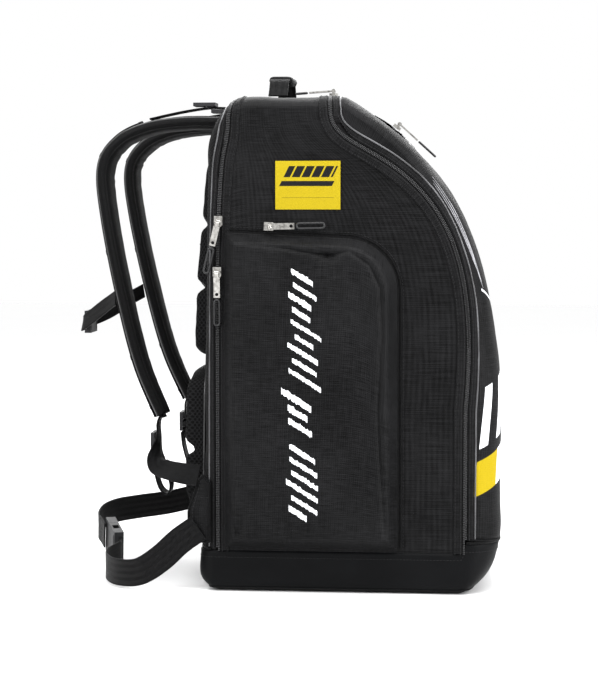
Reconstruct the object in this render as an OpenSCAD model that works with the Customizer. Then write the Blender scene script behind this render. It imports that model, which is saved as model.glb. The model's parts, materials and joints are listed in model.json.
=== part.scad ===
// Ski boot bag: a tall box-shaped backpack with a boot compartment behind a raised pocket on each
// side, a rear door that carries the harness, and a front door that folds forwards.
// +X is the front of the bag, -X the wearer's back, +Y the wearer's right, +Z up.
// The origin is the middle of the base, on the floor.

/* [Body] */
// Height of the top panel above the floor
bag_h = 538; // [534:1:544]
// Width of the body between its side panels
bag_w = 360; // [350:2:370]
// Distance from the origin to the rear of the base
rear_depth = 158; // [157:1:159]
// Distance from the origin to the front face
front_depth = 171; // [170:1:173]
// Radius of the two rounded front edges
edge_r = 38; // [34:1:38]
// Thickness of the padded fabric walls
skin = 3; // [2.5:0.5:3.5]
// Height of the seam between the base tray and the sides
seam_h = 45; // [44:1:46]
// Height of the base tray's front wall
front_seam_h = 56; // [55:1:57]

/* [Zips] */
// Gap in the fabric under a zip chain
zip_gap = 1.6; // [1.4:0.1:2]
// Width of one zip tape
tape_w = 6; // [5:0.5:7]
// Thickness of a zip tape
tape_t = 1.2; // [1:0.1:1.3]
// Height of the rear zip's upper slider
upper_slider_z = 403; // [395:1:410]
// Height of the rear zip's lower slider
lower_slider_z = 348; // [340:1:352]
// Distance of the front sliders from the middle plane
front_slider_y = 120; // [100:5:130]

/* [Side pockets] */
// How far the pocket face stands out from the side panel
pocket_bulge = 20; // [16:1:22]
// Thickness of the pocket's fabric
pocket_skin = 2.4; // [2:0.2:2.8]

/* [Harness] */
// Width of the shoulder pads
pad_w = 62; // [56:1:66]
// Thickness of the shoulder pads
pad_t = 16; // [14:1:17]
// Width of the hip belt webbing
belt_w = 30; // [28:1:34]
// Thickness of all webbing
webbing_t = 2; // [1.6:0.2:2.2]
// Width of the hip belt buckle
belt_buckle_w = 40; // [38:1:42]
// Width of the chest buckle
sternum_buckle_w = 26; // [24:1:27]

/* [Hidden] */
half_w = bag_w / 2;
clear = 0.5;
far = 400;
// The side panels turn in this far over the top edge
side_lip = 10;

// ---- curves ----

function bezier(a, b, c, d, n) = [for (i = [0 : n]) let (t = i / n, s = 1 - t)
    s*s*s*a + 3*s*s*t*b + 3*s*t*t*c + t*t*t*d];
function arc(c, r, a0, a1, n) = [for (i = [0 : n]) let (a = a0 + (a1 - a0) * i / n)
    [c.x + r.x * cos(a), c.y + r.y * sin(a)]];
function unit(v) = v / norm(v);
// Smooth curve through the points p, with n steps between neighbours
function through(p, n) = concat(
    [for (i = [0 : len(p) - 2]) for (k = [0 : n - 1])
        let (t = k / n, a = p[max(i - 1, 0)], b = p[i], c = p[i + 1],
            d = p[min(i + 2, len(p) - 1)])
        0.5 * (2*b + (c - a)*t + (2*a - 5*b + 4*c - d)*t*t + (3*b - a - 3*c + d)*t*t*t)],
    [p[len(p) - 1]]);
function tangent(p, i) = unit(p[min(i + 1, len(p) - 1)] - p[max(i - 1, 0)]);
function shifted(p, dx) = [for (q = p) [q.x + dx, q.y]];
function reversed(p) = [for (i = [len(p) - 1 : -1 : 0]) p[i]];

// Curved front of the bag in side view, e in from the widest outline and g out from the surface
function front_points(e, g, n) = bezier([front_depth - e + g, 130],
    [front_depth + 4 - 0.85 * e + g, 340], [140 - 0.3 * e + g, bag_h - 78 - 0.3 * e + g],
    [0.3 * g - 0.1 * e, bag_h - e * 14 / 38 + g], n);

// Side view of the bag, e in from the widest outline and g outwards from the surface
function outline(e, g = 0) = let (
        front = e - g, rear = e * 13 / 38 - g, top = e * 14 / 38 - g, base = e * 12 / 38 - g)
    concat(
        arc([22 - rear_depth, 22], [22 - rear, 22 - base], 180, 270, 4),
        arc([front_depth - 46, 80], [46 - front, 80 - base], 270, 360, 6),
        front_points(e, g, 10),
        arc([-104, bag_h - 68], [48 - rear, 68 - top], 90, 180, 6));

// Line of the rear zip and of the front zip in side view, from the seam to over the top
rear_zip = bezier([-137, 318], [-137, 440], [-131, 512], [-112, 560], 8);
front_zip = concat(
    bezier([131, 200], [143, 345], [120, 420], [40, 470], 8),
    [for (i = [1 : 5]) bezier([40, 470], [10, 487], [-10, 500], [-18, 560], 5)[i]]);
rear_zip_x = -137;
front_zip_x = 131;

// ---- building blocks ----

// Upright slab: a side-view outline between the widths y0 and y1
module slab(points, y0, y1) {
    translate([0, y1, 0])
        rotate([90, 0, 0])
            linear_extrude(y1 - y0)
                polygon(points);
}

// The whole bag as one rounded solid, grown by g
module body_solid(g = 0) {
    hull()
        for (a = [0 : 22.5 : 90])
            let (w = half_w + g - edge_r * (1 - sin(a)))
            slab(outline(edge_r * (1 - cos(a)), g), -w, w);
}

module body_shell() {
    difference() {
        body_solid(0);
        body_solid(-skin);
    }
}

module rear_zone() {
    slab(concat([[-far, seam_h + clear], [rear_zip_x - zip_gap / 2, seam_h + clear]],
        shifted(rear_zip, -zip_gap / 2), [[-far, 560]]), -far, far);
}

module front_zone() {
    slab(concat([[far, 560]], shifted(reversed(front_zip), zip_gap / 2),
        [[front_zip_x + zip_gap / 2, front_seam_h + clear], [far, front_seam_h + clear]]), -far, far);
}

module middle_zone(y0, y1) {
    slab(concat([[rear_zip_x + zip_gap / 2, seam_h]], shifted(rear_zip, zip_gap / 2),
        shifted(reversed(front_zip), -zip_gap / 2),
        [[front_zip_x - zip_gap / 2, seam_h]]), y0, y1);
}

// Strip of zip tape beside a zip line, from shift a to shift b in depth
module zip_tape(line, foot, a, b) {
    edge = concat([foot], line);
    intersection() {
        difference() {
            body_solid(tape_t);
            body_solid(0.05);
        }
        slab(concat(shifted(edge, a), reversed(shifted(edge, b))), -far, far);
    }
}

// Sweeps a flat section with blunt edges along a path; across gives the width direction
module ribbon(path, wide, thick, across, taper = 1, blunt = 0.3) {
    n = len(path);
    c = thick * blunt;
    corners = [for (i = [0 : n - 1]) let (
            t = tangent(path, i),
            a = is_list(across[0]) ? across[i] : across,
            w = unit(a - (a * t) * t),
            u = cross(t, w),
            k = wide / 2 * (1 + (taper - 1) * pow(i / (n - 1), 3)))
        for (s = [[1, 1], [1, -1], [-1, -1], [-1, 1]])
            for (m = s.x * s.y > 0 ? [[c, 0], [0, c]] : [[0, c], [c, 0]])
                path[i] + w * s.x * (k - m.x) + u * s.y * (thick / 2 - m.y)];
    sides = [for (i = [0 : n - 2]) for (j = [0 : 7])
        let (a = i * 8 + j, b = i * 8 + (j + 1) % 8)
        for (f = [[a, b, b + 8], [a, b + 8, a + 8]]) f];
    polyhedron(corners, concat(sides,
        [[for (j = [7 : -1 : 0]) j]], [[for (j = [0 : 7]) (n - 1) * 8 + j]]));
}

module on_right() {
    mirror([0, 1, 0])
        children();
}

// ---- bag body ----

module plan(inset) {
    x0 = -rear_depth + inset;
    x1 = front_depth - inset;
    w = half_w - inset;
    r = edge_r - inset;
    q = 16 - inset;
    for (s = [-1, 1]) {
        translate([x1 - r, s * (w - r)])
            circle(r, $fn = 64);
        translate([x0 + q, s * (w - q)])
            circle(q, $fn = 48);
    }
    translate([x0, -w + q])
        square([x1 - x0 - r, 2 * (w - q)]);
    translate([x0 + q, -w])
        square([x1 - r - x0 - q, 2 * w]);
    translate([x1 - r - 1, -w + r])
        square([r + 1, 2 * (w - r)]);
}

module base_block(inset) {
    intersection() {
        translate([0, 0, inset])
            linear_extrude(front_seam_h + 1)
                plan(inset);
        slab(outline(0, -inset), -far, far);
        slab([[-far, 0], [far, 0], [far, front_seam_h + inset], [front_zip_x - zip_gap / 2,
            front_seam_h + inset], [front_zip_x - zip_gap / 2, seam_h + inset], [-far, seam_h + inset]],
            -far, far);
    }
}

module base_tray() {
    color("#2b2d31")
        difference() {
            base_block(0);
            base_block(skin);
        }
}

module base_board() {
    color("#3a3a3a")
        translate([-135, -165, skin + 0.1])
            cube([258, 330, 3]);
}

// Side view of the side pocket's foot, inset all round by d
function pocket_outline(d) = concat(
    [[-128 + 0.7 * d, seam_h + 5 + 0.6 * d], [57 - d, seam_h + 5 + 0.6 * d]],
    arc([0, 330], [56 - d, 54 - d], 0, 90, 6),
    [[-128 + 0.7 * d, 390 - d]]);

module pocket_solid(d, out) {
    hull() {
        slab(pocket_outline(d), -half_w - 0.5, -half_w);
        slab(pocket_outline(d + 8), -half_w - 0.75 * out, -half_w);
        slab(pocket_outline(d + 14), -half_w - out, -half_w);
    }
}

// The fold line that the pocket flap turns on, from zip end to zip end
flap_a = [-85, 388];
flap_b = [57, seam_h + 8];
flap_dir = unit(flap_b - flap_a);
flap_out = [-flap_dir.y, flap_dir.x];

module flap_zone(gap) {
    slab([flap_a - 300 * flap_dir + gap * flap_out, flap_a - 300 * flap_dir + far * flap_out,
        flap_b + 300 * flap_dir + far * flap_out, flap_b + 300 * flap_dir + gap * flap_out],
        -far, 0);
}

module pocket_shell() {
    difference() {
        pocket_solid(0, pocket_bulge);
        translate([0, 0.01, 0])
            pocket_solid(pocket_skin, pocket_bulge - pocket_skin);
    }
}

module pocket_body_left() {
    color("#26272a")
        difference() {
            pocket_shell();
            flap_zone(-clear);
        }
}

module pocket_flap_left() {
    color("#26272a")
        translate([0, -clear, 0])
            intersection() {
                pocket_shell();
                flap_zone(clear);
            }
}

module side_panel_left() {
    color("#26272a")
        difference() {
            intersection() {
                body_shell();
                middle_zone(-far, -half_w + side_lip);
            }
            slab(pocket_outline(6), -far, 0);
        }
}

module top_panel() {
    color("#26272a")
        intersection() {
            body_shell();
            middle_zone(side_lip - half_w, half_w - side_lip);
            slab([[-far, bag_h - 60], [far, bag_h - 60], [far, far + bag_h], [-far, far + bag_h]],
                -far, far);
        }
}

// Sewn-in compartment behind each pocket, open to the outside
module boot_cell_left() {
    cell_in = 80;
    color("#1d1e20")
        difference() {
            slab(pocket_outline(0), -half_w + skin, -cell_in);
            slab(pocket_outline(2), -far, -cell_in - 2);
        }
}

module rear_zip_body_tape() {
    color("#151515")
        zip_tape(rear_zip, [rear_zip_x, seam_h + 1], zip_gap / 2, zip_gap / 2 + tape_w);
}

module rear_zip_door_tape() {
    color("#151515")
        zip_tape(rear_zip, [rear_zip_x, seam_h + 1], -zip_gap / 2 - tape_w, -zip_gap / 2);
}

module front_zip_body_tape() {
    color("#151515")
        zip_tape(front_zip, [front_zip_x, seam_h + 1], -zip_gap / 2 - tape_w, -zip_gap / 2);
}

module front_zip_door_tape() {
    color("#151515")
        zip_tape(front_zip, [front_zip_x, front_seam_h + 1], zip_gap / 2, zip_gap / 2 + tape_w);
}

module name_label() {
    color("#e6d02e")
        translate([-74, -half_w - 1.2, 416])
            cube([70, 1.1, 52]);
}

// ---- rear door and harness ----

function rear_face_x(z) = -rear_depth + 6 * (z - 22) / (bag_h - 90);

module back_panel() {
    color("#222326")
        intersection() {
            body_shell();
            rear_zone();
        }
}

module back_pad() {
    color("#1b1c1e")
        slab([[rear_face_x(250) - 0.3, 250], [rear_face_x(462) - 0.3, 462], [-158, 474],
            [-163, 420], [-170, 345], [-173, 262], [-168, 250]], -105, 105);
}

module lumbar_pad() {
    color("#1b1c1e")
        slab([[rear_face_x(62) - 0.3, 62], [rear_face_x(240) - 0.3, 240], [-171, 238],
            [-178, 215], [-180, 150], [-180, 108], [-168, 64]], -135, 135);
}

module hip_wing_left() {
    color("#222326")
        translate([-145.5, -half_w - 1.5, 0])
            rotate([0, 0, -6])
                slab([[0, 56], [0, 120], [-7, 128], [-12, 122], [-24, 88], [-24, 54]], -2.4, 0);
}

shoulder_points = [[-147, -72, 513], [-185, -74, 513], [-226, -78, 507], [-258, -83, 491],
    [-275, -87, 462], [-270, -91, 405], [-252, -97, 317], [-232, -102, 242], [-208, -106, 186]];

module shoulder_pad_left() {
    color("#202124")
        ribbon(through(shoulder_points, 3), pad_w, pad_t, [0, 1, 0], 0.55);
}

module load_lifter_left() {
    color("#2a2a2c")
        ribbon(through([[-226, -79, 517.5], [-205, -78, 522.3], [-184, -77, 526.5],
            [-160, -75, 530], [-140, -73, 530], [-129, -72, 529.8]], 3), 20, webbing_t, [0, 1, 0]);
}

module lower_webbing_left() {
    color("#2a2a2c") {
        ribbon(through([[-214, -107, 178], [-213, -109, 161], [-212, -121, 145], [-208, -143, 132],
            [-184, -171, 129], [-158, -183, 127]], 3), 24, webbing_t,
            through([[0, 1, 0], [0, 1, 0], [0.2, 1, 0.2], [0.5, 0.7, 0.6], [0.6, 0.3, 0.8],
            [0.6, 0.1, 0.8]], 3));
        ribbon(through([[-219, -108, 141], [-217, -109, 123], [-211, -110, 103], [-202, -110, 97],
            [-199, -110, 107], [-203, -110, 123]], 3), 24, webbing_t, [0, 1, 0]);
    }
}

// ---- front door ----

// The mouth of the goggle pocket lies across the upper front, at this share of the front curve
goggle_at = 0.865;
front_curve = front_points(0, 0, 200);
goggle_mouth = front_curve[round(200 * goggle_at)];
goggle_ahead = front_curve[round(200 * goggle_at) + 2];
goggle_slope = atan2(goggle_ahead.y - goggle_mouth.y, goggle_mouth.x - goggle_ahead.x);

// Puts children in the goggle pocket's frame: +Z out of the door, -X up the slope
module at_goggle_mouth() {
    translate([goggle_mouth.x, 0, goggle_mouth.y])
        rotate([0, goggle_slope, 0])
            children();
}

module front_shell() {
    color("#232427")
        difference() {
            intersection() {
                body_shell();
                front_zone();
            }
            at_goggle_mouth()
                cube([9, 214, 30], center = true);
        }
}

module goggle_pocket() {
    color("#1d1e20")
        at_goggle_mouth()
            difference() {
                translate([-18, -112, -72])
                    cube([36, 224, 67]);
                translate([-16, -110, -70])
                    cube([32, 220, 70]);
            }
}

module goggle_zip() {
    color("#151515")
        at_goggle_mouth()
            for (s = [-1, 1])
                translate([s * 5, 0, 0.95])
                    cube([8, 226, 1.2], center = true);
}

// ---- haul handle ----

handle_x = -83;
handle_half = 60;
handle_rise = 26;

module handle_tabs() {
    color("#2a2a2c")
        for (s = [-1, 1])
            translate([handle_x - 14, s * (handle_half + 9) - 11, bag_h + 0.1])
                cube([28, 22, 1.6]);
}

module handle_strap() {
    loop = [[handle_half, 6.4], [handle_half - 9, 14], [handle_half - 24, handle_rise - 0.3]];
    color("#2a2a2c")
        ribbon(through(concat([for (q = loop) [handle_x, -q.x, bag_h + q.y]],
            [[handle_x, 0, bag_h + handle_rise]],
            [for (q = reversed(loop)) [handle_x, q.x, bag_h + q.y]]), 3),
            22, webbing_t, [1, 0, 0]);
}

module handle_grip() {
    color("#1b1c1e")
        for (s = [-1, 1])
            translate([handle_x, 0, bag_h + handle_rise + s * 3.3])
                cube([28, 62, 3], center = true);
}

// ---- zip sliders and pulls: +Z away from the fabric, the pull rests along -Y ----

bail_h = 6.1;
pull_drop = 4;

module zip_slider(turn = 0) {
    color("#c9ccd0") {
        rotate([0, 0, turn])
            difference() {
                translate([-4.5, -6, 0])
                    cube([9, 12, 3.4]);
                for (s = [-1, 1])
                    translate([s * 4.5, -6, -1])
                        rotate([0, 0, 45])
                            cube([3.4, 3.4, 12], center = true);
            }
        for (s = [-1, 1])
            translate([s * 3.5 - 0.6, -1.4, 3.3])
                cube([1.2, 2.8, 4]);
        translate([-4.1, 0, bail_h])
            rotate([0, 90, 0])
                cylinder(h = 8.2, d = 1.4, $fn = 24);
    }
}

// A nickel plate with an eye at each end and a cord loop on it, dropped onto the fabric
module zip_pull(cord_len = 30, cord_w = 8) {
    translate([0, 0, bail_h])
        rotate([pull_drop, 0, 0]) {
        color("#c9ccd0")
            difference() {
                union() {
                    translate([-2, -6, -0.9])
                        cube([4, 6, 1.8]);
                    rotate([0, 90, 0])
                        cylinder(h = 4, d = 4.6, center = true, $fn = 32);
                    translate([-3.4, -27, -0.9])
                        cube([6.8, 22, 1.8]);
                }
                rotate([0, 90, 0])
                    cylinder(h = 10, d = 2.6, center = true, $fn = 32);
                translate([0, -23.5, 0])
                    cylinder(h = 6, d = 3.6, center = true, $fn = 32);
            }
        color("#17181a")
            translate([0, -28.4, 0])
                cord_loop(cord_len, cord_w, 2.4);
    }
}

// Closed loop of cord lying along -Y from the origin
module cord_loop(len, wide, d) {
    r = (wide - d) / 2;
    for (s = [-1, 1])
        translate([s * r, -r - d / 2, 0])
            rotate([90, 0, 0])
                cylinder(h = len - 2 * r - d, d = d, $fn = 16);
    translate([0, -r - d / 2, 0])
        rotate_extrude(angle = 180, $fn = 32)
            translate([r, 0])
                circle(d = d, $fn = 16);
    translate([0, -len + r + d / 2, 0])
        rotate([0, 0, 180])
            rotate_extrude(angle = 180, $fn = 32)
                translate([r, 0])
                    circle(d = d, $fn = 16);
}

slider_y = half_w + tape_t + clear;

module on_rear_zip(x, z) {
    translate([x, -slider_y, z])
        rotate([90, 0, 0])
            children();
}

module rear_slider_upper() {
    on_rear_zip(-135.5, upper_slider_z)
        zip_slider();
}

module rear_pull_upper() {
    on_rear_zip(-135.5, upper_slider_z)
        rotate([0, 0, -14])
            zip_pull(30, 8);
}

module rear_slider_lower() {
    on_rear_zip(rear_zip_x, lower_slider_z)
        zip_slider();
}

module rear_pull_lower() {
    on_rear_zip(rear_zip_x, lower_slider_z)
        zip_pull(30, 8);
}

module on_front_zip(s) {
    translate([-15.5, s * front_slider_y, bag_h + tape_t + clear])
        rotate([0, 0, -90])
            children();
}

module front_slider(s) {
    on_front_zip(s)
        zip_slider(90);
}

module front_pull(s) {
    on_front_zip(s)
        zip_pull(14, 8);
}

module on_goggle_zip() {
    at_goggle_mouth()
        translate([0, -94, 2.2])
            rotate([0, 0, 90])
                children();
}

module goggle_slider() {
    on_goggle_zip()
        zip_slider(90);
}

module goggle_pull() {
    on_goggle_zip()
        zip_pull(26, 8);
}

// The pocket's zip runs just above its foot and drops slightly to the front
pocket_zip_slope = atan(6 / 128);

module on_pocket_zip() {
    translate([-80, -half_w - tape_t - clear, 397.8])
        rotate([90, 0, 0])
            rotate([0, 0, 90 - pocket_zip_slope])
                children();
}

module pocket_slider_left() {
    on_pocket_zip()
        zip_slider();
}

module pocket_pull_left() {
    on_pocket_zip()
        rotate([0, 0, pocket_zip_slope + 1])
            zip_pull(32, 8);
}

// ---- strap hardware ----

// Flat frame with a middle bar, w across the webbing, l along it
module strap_frame(w, l, t) {
    bar = 3.2;
    difference() {
        translate([-w / 2, -l, 0])
            cube([w, l, t]);
        for (y = [-l + bar, -l / 2 + bar / 2])
            translate([-w / 2 + bar, y, -1])
                cube([w - 2 * bar, l / 2 - 1.5 * bar, t + 2]);
    }
}

module lifter_buckle_left() {
    color("#141516")
        translate([-151, -75.5, 531.8])
            rotate([0, 0, -90])
                strap_frame(26, 25, 4);
}

module ladder_lock_left() {
    color("#141516")
        translate([-216.6, -108, 166])
            rotate([0, 0, -90])
                rotate([90, 0, 0])
                    strap_frame(30, 23, 4);
}

// Side-release buckle: axis along Y, thickness along X, width w along Z
module buckle_socket(w) {
    t = 0.28 * w;
    difference() {
        translate([-t / 2, -0.75 * w, -w / 2])
            cube([t, 0.95 * w, w]);
        translate([-t / 2 + 0.05 * w, -0.5 * w, -0.4 * w])
            cube([t - 0.1 * w, 0.8 * w, 0.8 * w]);
        for (s = [-1, 1])
            translate([0, -0.2 * w, s * w / 2])
                cube([t - 0.1 * w, 0.3 * w, 0.3 * w], center = true);
        translate([0, -0.62 * w, 0])
            cube([2 * t, 0.12 * w, 0.76 * w], center = true);
    }
}

module buckle_plug(w) {
    t = 0.28 * w;
    thin = t - 0.1 * w - 1;
    translate([-t / 2, 0.2 * w + 0.5, -w / 2])
        difference() {
            cube([t, 0.55 * w, w]);
            translate([-1, 0.26 * w, 0.12 * w])
                cube([t + 2, 0.1 * w, 0.76 * w]);
            translate([-1, 0.42 * w, 0.12 * w])
                cube([t + 2, 0.08 * w, 0.76 * w]);
        }
    for (s = [-1, 1])
        translate([-thin / 2, -0.3 * w, s * 0.32 * w - 0.06 * w])
            cube([thin, 0.52 * w, 0.12 * w]);
    translate([-thin / 2, -0.38 * w, -0.05 * w])
        cube([thin, 0.6 * w, 0.1 * w]);
}

sternum_centre = [-312, 0, 284];

module at_sternum() {
    translate(sternum_centre)
        children();
}

module sternum_socket() {
    color("#141516")
        at_sternum()
            buckle_socket(sternum_buckle_w);
}

module sternum_plug() {
    color("#141516")
        at_sternum()
            buckle_plug(sternum_buckle_w);
}

// Half of the chest strap: it ends buckle_y short of the middle, off in front of the buckle's axis
module sternum_half(buckle_y, off) {
    x = sternum_centre.x - off;
    z = sternum_centre.z;
    color("#2a2a2c")
        ribbon(through([[-264.5, -94, 316], [-279, -76, 307], [-298, -58, 294],
            [x, -44, z], [x, -32, z], [x, -buckle_y, z]], 3), 18, webbing_t, [0.2, 0, 1]);
}

module sternum_left() {
    sternum_half(20.2, 0);
}

module sternum_right() {
    on_right()
        sternum_half(13, sternum_buckle_w * 0.14 + webbing_t / 2 + 5 * clear);
}

belt_centre = [-279, -34, 27];
belt_tilt = [8, 0, 20];
// Point on the hip buckle's axis at distance d from its middle, off to the outside
function on_belt_axis(d, off) = belt_centre
    + d * [-sin(belt_tilt.z) * cos(belt_tilt.x), cos(belt_tilt.z) * cos(belt_tilt.x), sin(belt_tilt.x)]
    - off * [cos(belt_tilt.z), sin(belt_tilt.z), 0];

module at_belt() {
    translate(belt_centre)
        rotate(belt_tilt)
            children();
}

module belt_socket() {
    color("#141516")
        at_belt()
            buckle_socket(belt_buckle_w);
}

module belt_plug() {
    color("#141516")
        at_belt()
            buckle_plug(belt_buckle_w);
}

module belt_left() {
    color("#2a2a2c")
        ribbon(through([[-158, -187, 70], [-178, -189, 56], [-200, -191, 36], [-224, -187, 21],
            [-250, -170, 17], [-267, -142, 17], [-272, -110, 18],
            on_belt_axis(-45, 0), on_belt_axis(-30.6, 0)], 3),
            belt_w, webbing_t, [0, 0, 1]);
}

module belt_right() {
    off = belt_buckle_w * 0.14 + webbing_t / 2 + 3 * clear;
    color("#2a2a2c")
        ribbon(through([on_belt_axis(22, off), on_belt_axis(40, off), on_belt_axis(66, off),
            [-309, 58, 41], [-299, 92, 43], [-276, 126, 43], [-244, 156, 44], [-210, 178, 50],
            [-182, 187, 59], [-158, 187, 70]], 3),
            belt_w, webbing_t, [0, 0, 1]);
}

base_tray();
base_board();
side_panel_left();
on_right() side_panel_left();  // side_panel_right
top_panel();
boot_cell_left();
on_right() boot_cell_left();  // boot_cell_right
rear_zip_body_tape();
front_zip_body_tape();
pocket_body_left();
on_right() pocket_body_left();  // pocket_body_right
name_label();
back_panel();
rear_zip_door_tape();
back_pad();
lumbar_pad();
hip_wing_left();
on_right() hip_wing_left();  // hip_wing_right
shoulder_pad_left();
on_right() shoulder_pad_left();  // shoulder_pad_right
load_lifter_left();
on_right() load_lifter_left();  // load_lifter_right
lower_webbing_left();
on_right() lower_webbing_left();  // lower_webbing_right
front_shell();
front_zip_door_tape();
goggle_pocket();
goggle_zip();
handle_tabs();
handle_strap();
handle_grip();
rear_slider_upper();
rear_pull_upper();
rear_slider_lower();
rear_pull_lower();
front_slider(-1);  // front_slider_left
front_slider(1);  // front_slider_right
front_pull(-1);  // front_pull_left
front_pull(1);  // front_pull_right
goggle_slider();
goggle_pull();
pocket_flap_left();
on_right() pocket_flap_left();  // pocket_flap_right
pocket_slider_left();
on_right() pocket_slider_left();  // pocket_slider_right
pocket_pull_left();
on_right() pocket_pull_left();  // pocket_pull_right
lifter_buckle_left();
on_right() lifter_buckle_left();  // lifter_buckle_right
ladder_lock_left();
on_right() ladder_lock_left();  // ladder_lock_right
sternum_left();
sternum_right();
sternum_socket();
sternum_plug();
belt_left();
belt_right();
belt_socket();
belt_plug();
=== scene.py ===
"""Ski boot bag: the visual model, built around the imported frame.

Lengths are millimetres in the CAD model's axes until a mesh is made, which is in metres.
+X is the front of the bag, and left is -Y, the side that the camera sees. Lengths inside a
material's nodes are in metres.
"""
import json
import math

import bmesh
import bpy
import numpy as np
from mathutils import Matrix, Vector, noise
from mathutils.bvhtree import BVHTree


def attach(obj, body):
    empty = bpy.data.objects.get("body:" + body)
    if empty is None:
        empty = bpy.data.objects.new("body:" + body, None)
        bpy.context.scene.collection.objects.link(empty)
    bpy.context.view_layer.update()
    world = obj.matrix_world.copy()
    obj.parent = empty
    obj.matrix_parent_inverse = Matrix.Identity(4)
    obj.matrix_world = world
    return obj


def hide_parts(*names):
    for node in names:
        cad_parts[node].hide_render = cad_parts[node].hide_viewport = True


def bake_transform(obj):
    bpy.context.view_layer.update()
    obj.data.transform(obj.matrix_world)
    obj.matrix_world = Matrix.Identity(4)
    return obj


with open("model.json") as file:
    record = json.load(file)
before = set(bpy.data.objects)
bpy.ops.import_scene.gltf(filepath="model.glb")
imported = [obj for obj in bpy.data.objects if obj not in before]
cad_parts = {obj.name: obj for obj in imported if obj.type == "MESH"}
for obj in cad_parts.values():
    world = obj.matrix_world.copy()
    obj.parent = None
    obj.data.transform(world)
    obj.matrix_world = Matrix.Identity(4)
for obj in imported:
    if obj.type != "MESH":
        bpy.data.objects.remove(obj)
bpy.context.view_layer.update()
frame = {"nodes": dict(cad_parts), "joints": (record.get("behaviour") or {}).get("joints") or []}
NODES = frame["nodes"]
JOINTS = {j["name"]: j for j in frame["joints"]}
MM = 0.001

# Driving measures
HALF_W = 180.0
BAG_H = 538.0
REAR = 158.0
FRONT = 171.0
EDGE_R = 38.0
SEAM_H = 45.0
FRONT_SEAM_H = 56.0
ZIP_GAP = 0.8
TOP_DROP = 14       # how far the top falls over its rounded edge
BACK_DROP = 13      # how far the rear face comes forward over its rounded edge
NAPE = np.array([-104.0, BAG_H - 68])   # middle of the round between the top and the rear face
NAPE_R = (48, 68)
SIDES = ((-1, "left"), (1, "right"))


# ---- curves ----

def bezier(a, b, c, d, n):
    t = np.linspace(0, 1, n + 1)[:, None]
    s = 1 - t
    a, b, c, d = (np.array(p, float) for p in (a, b, c, d))
    return s**3 * a + 3 * s * s * t * b + 3 * s * t * t * c + t**3 * d


def arc(centre, radii, a0, a1, n):
    a = np.radians(np.linspace(a0, a1, n + 1))
    return np.stack([centre[0] + radii[0] * np.cos(a), centre[1] + radii[1] * np.sin(a)], 1)


def line(a, b, n):
    t = np.linspace(0, 1, n + 1)[:, None]
    return np.array(a, float) * (1 - t) + np.array(b, float) * t


def joined(*runs):
    """One run of points out of several that share their end points."""
    return np.concatenate([runs[0]] + [r[1:] for r in runs[1:]])


def through(points, n):
    """Smooth curve through the points, with n steps between neighbours."""
    p = [np.array(q, float) for q in points]
    out = []
    for i in range(len(p) - 1):
        a, b, c, d = p[max(i - 1, 0)], p[i], p[i + 1], p[min(i + 2, len(p) - 1)]
        for t in np.arange(n) / n:
            out.append(0.5 * (2 * b + (c - a) * t + (2 * a - 5 * b + 4 * c - d) * t * t
                              + (3 * b - a - 3 * c + d) * t**3))
    return np.array(out + [p[-1]])


def sampled(values, knots, at):
    """Each column of values, which are known at the knots, read off at other places."""
    return np.stack([np.interp(at, knots, values[:, k]) for k in range(values.shape[1])], 1)


def respaced(values, count):
    return sampled(values, np.linspace(0, 1, len(values)), np.linspace(0, 1, count))


def even(points, count):
    """The same curve with count points at even spacing."""
    p = np.array(points, float)
    d = distances(p)
    return sampled(p, d, np.linspace(0, d[-1], count))


def distances(points):
    steps = np.linalg.norm(np.diff(np.asarray(points, float), axis=0), axis=1)
    return np.concatenate([[0], np.cumsum(steps)])


def smoothstep(x):
    x = np.clip(x, 0, 1)
    return x * x * (3 - 2 * x)


def distance_to(points, path):
    """Distance of each point to a polyline, in the plane of both."""
    p = np.asarray(points, float).reshape(-1, 2)
    best = np.full(len(p), 1e9)
    for a, b in zip(path[:-1], path[1:]):
        ab = b - a
        t = np.clip(((p - a) @ ab) / max(ab @ ab, 1e-9), 0, 1)
        best = np.minimum(best, np.linalg.norm(p - (a + t[:, None] * ab), axis=1))
    return best


def unit(v):
    v = np.array(v, float)
    return v / np.maximum(np.linalg.norm(v, axis=-1, keepdims=True), 1e-12)


def waviness(points, scale, seed=0.0):
    """Smooth noise between about -1 and 1 at each point, with features of the given size in mm."""
    p = np.asarray(points, float).reshape(-1, 3) / scale
    return np.array([noise.noise(Vector(q) + Vector((seed, seed * 1.7, 0))) for q in p]
                    ).reshape(np.asarray(points).shape[:-1])


# ---- meshes ----

def mesh_piece(name, verts, faces, material, body, uv=None, smooth=True):
    """A mesh from millimetre vertices, with its weave's coordinates in metres, riding on a body."""
    mesh = bpy.data.meshes.new(name)
    mesh.from_pydata((np.asarray(verts, float) * MM).tolist(), [], [list(f) for f in faces])
    if uv is not None:
        index = np.zeros(len(mesh.loops), int)
        mesh.loops.foreach_get("vertex_index", index)
        layer = mesh.uv_layers.new(name="UVMap")
        layer.data.foreach_set("uv", (np.asarray(uv, float) * MM)[index].ravel())
    mesh.polygons.foreach_set("use_smooth", [smooth] * len(mesh.polygons))
    mesh.update()
    piece = bpy.data.objects.new(name, mesh)
    bpy.context.scene.collection.objects.link(piece)
    for m in material if isinstance(material, (list, tuple)) else [material]:
        mesh.materials.append(m)
    if body:
        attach(piece, body)
    return piece


def grid_faces(n, m, flip=False):
    i, j = np.meshgrid(np.arange(n - 1), np.arange(m - 1), indexing="ij")
    a = (i * m + j).ravel()
    quads = np.stack([a, a + m, a + m + 1, a + 1], 1)
    return quads[:, ::-1] if flip else quads


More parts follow.
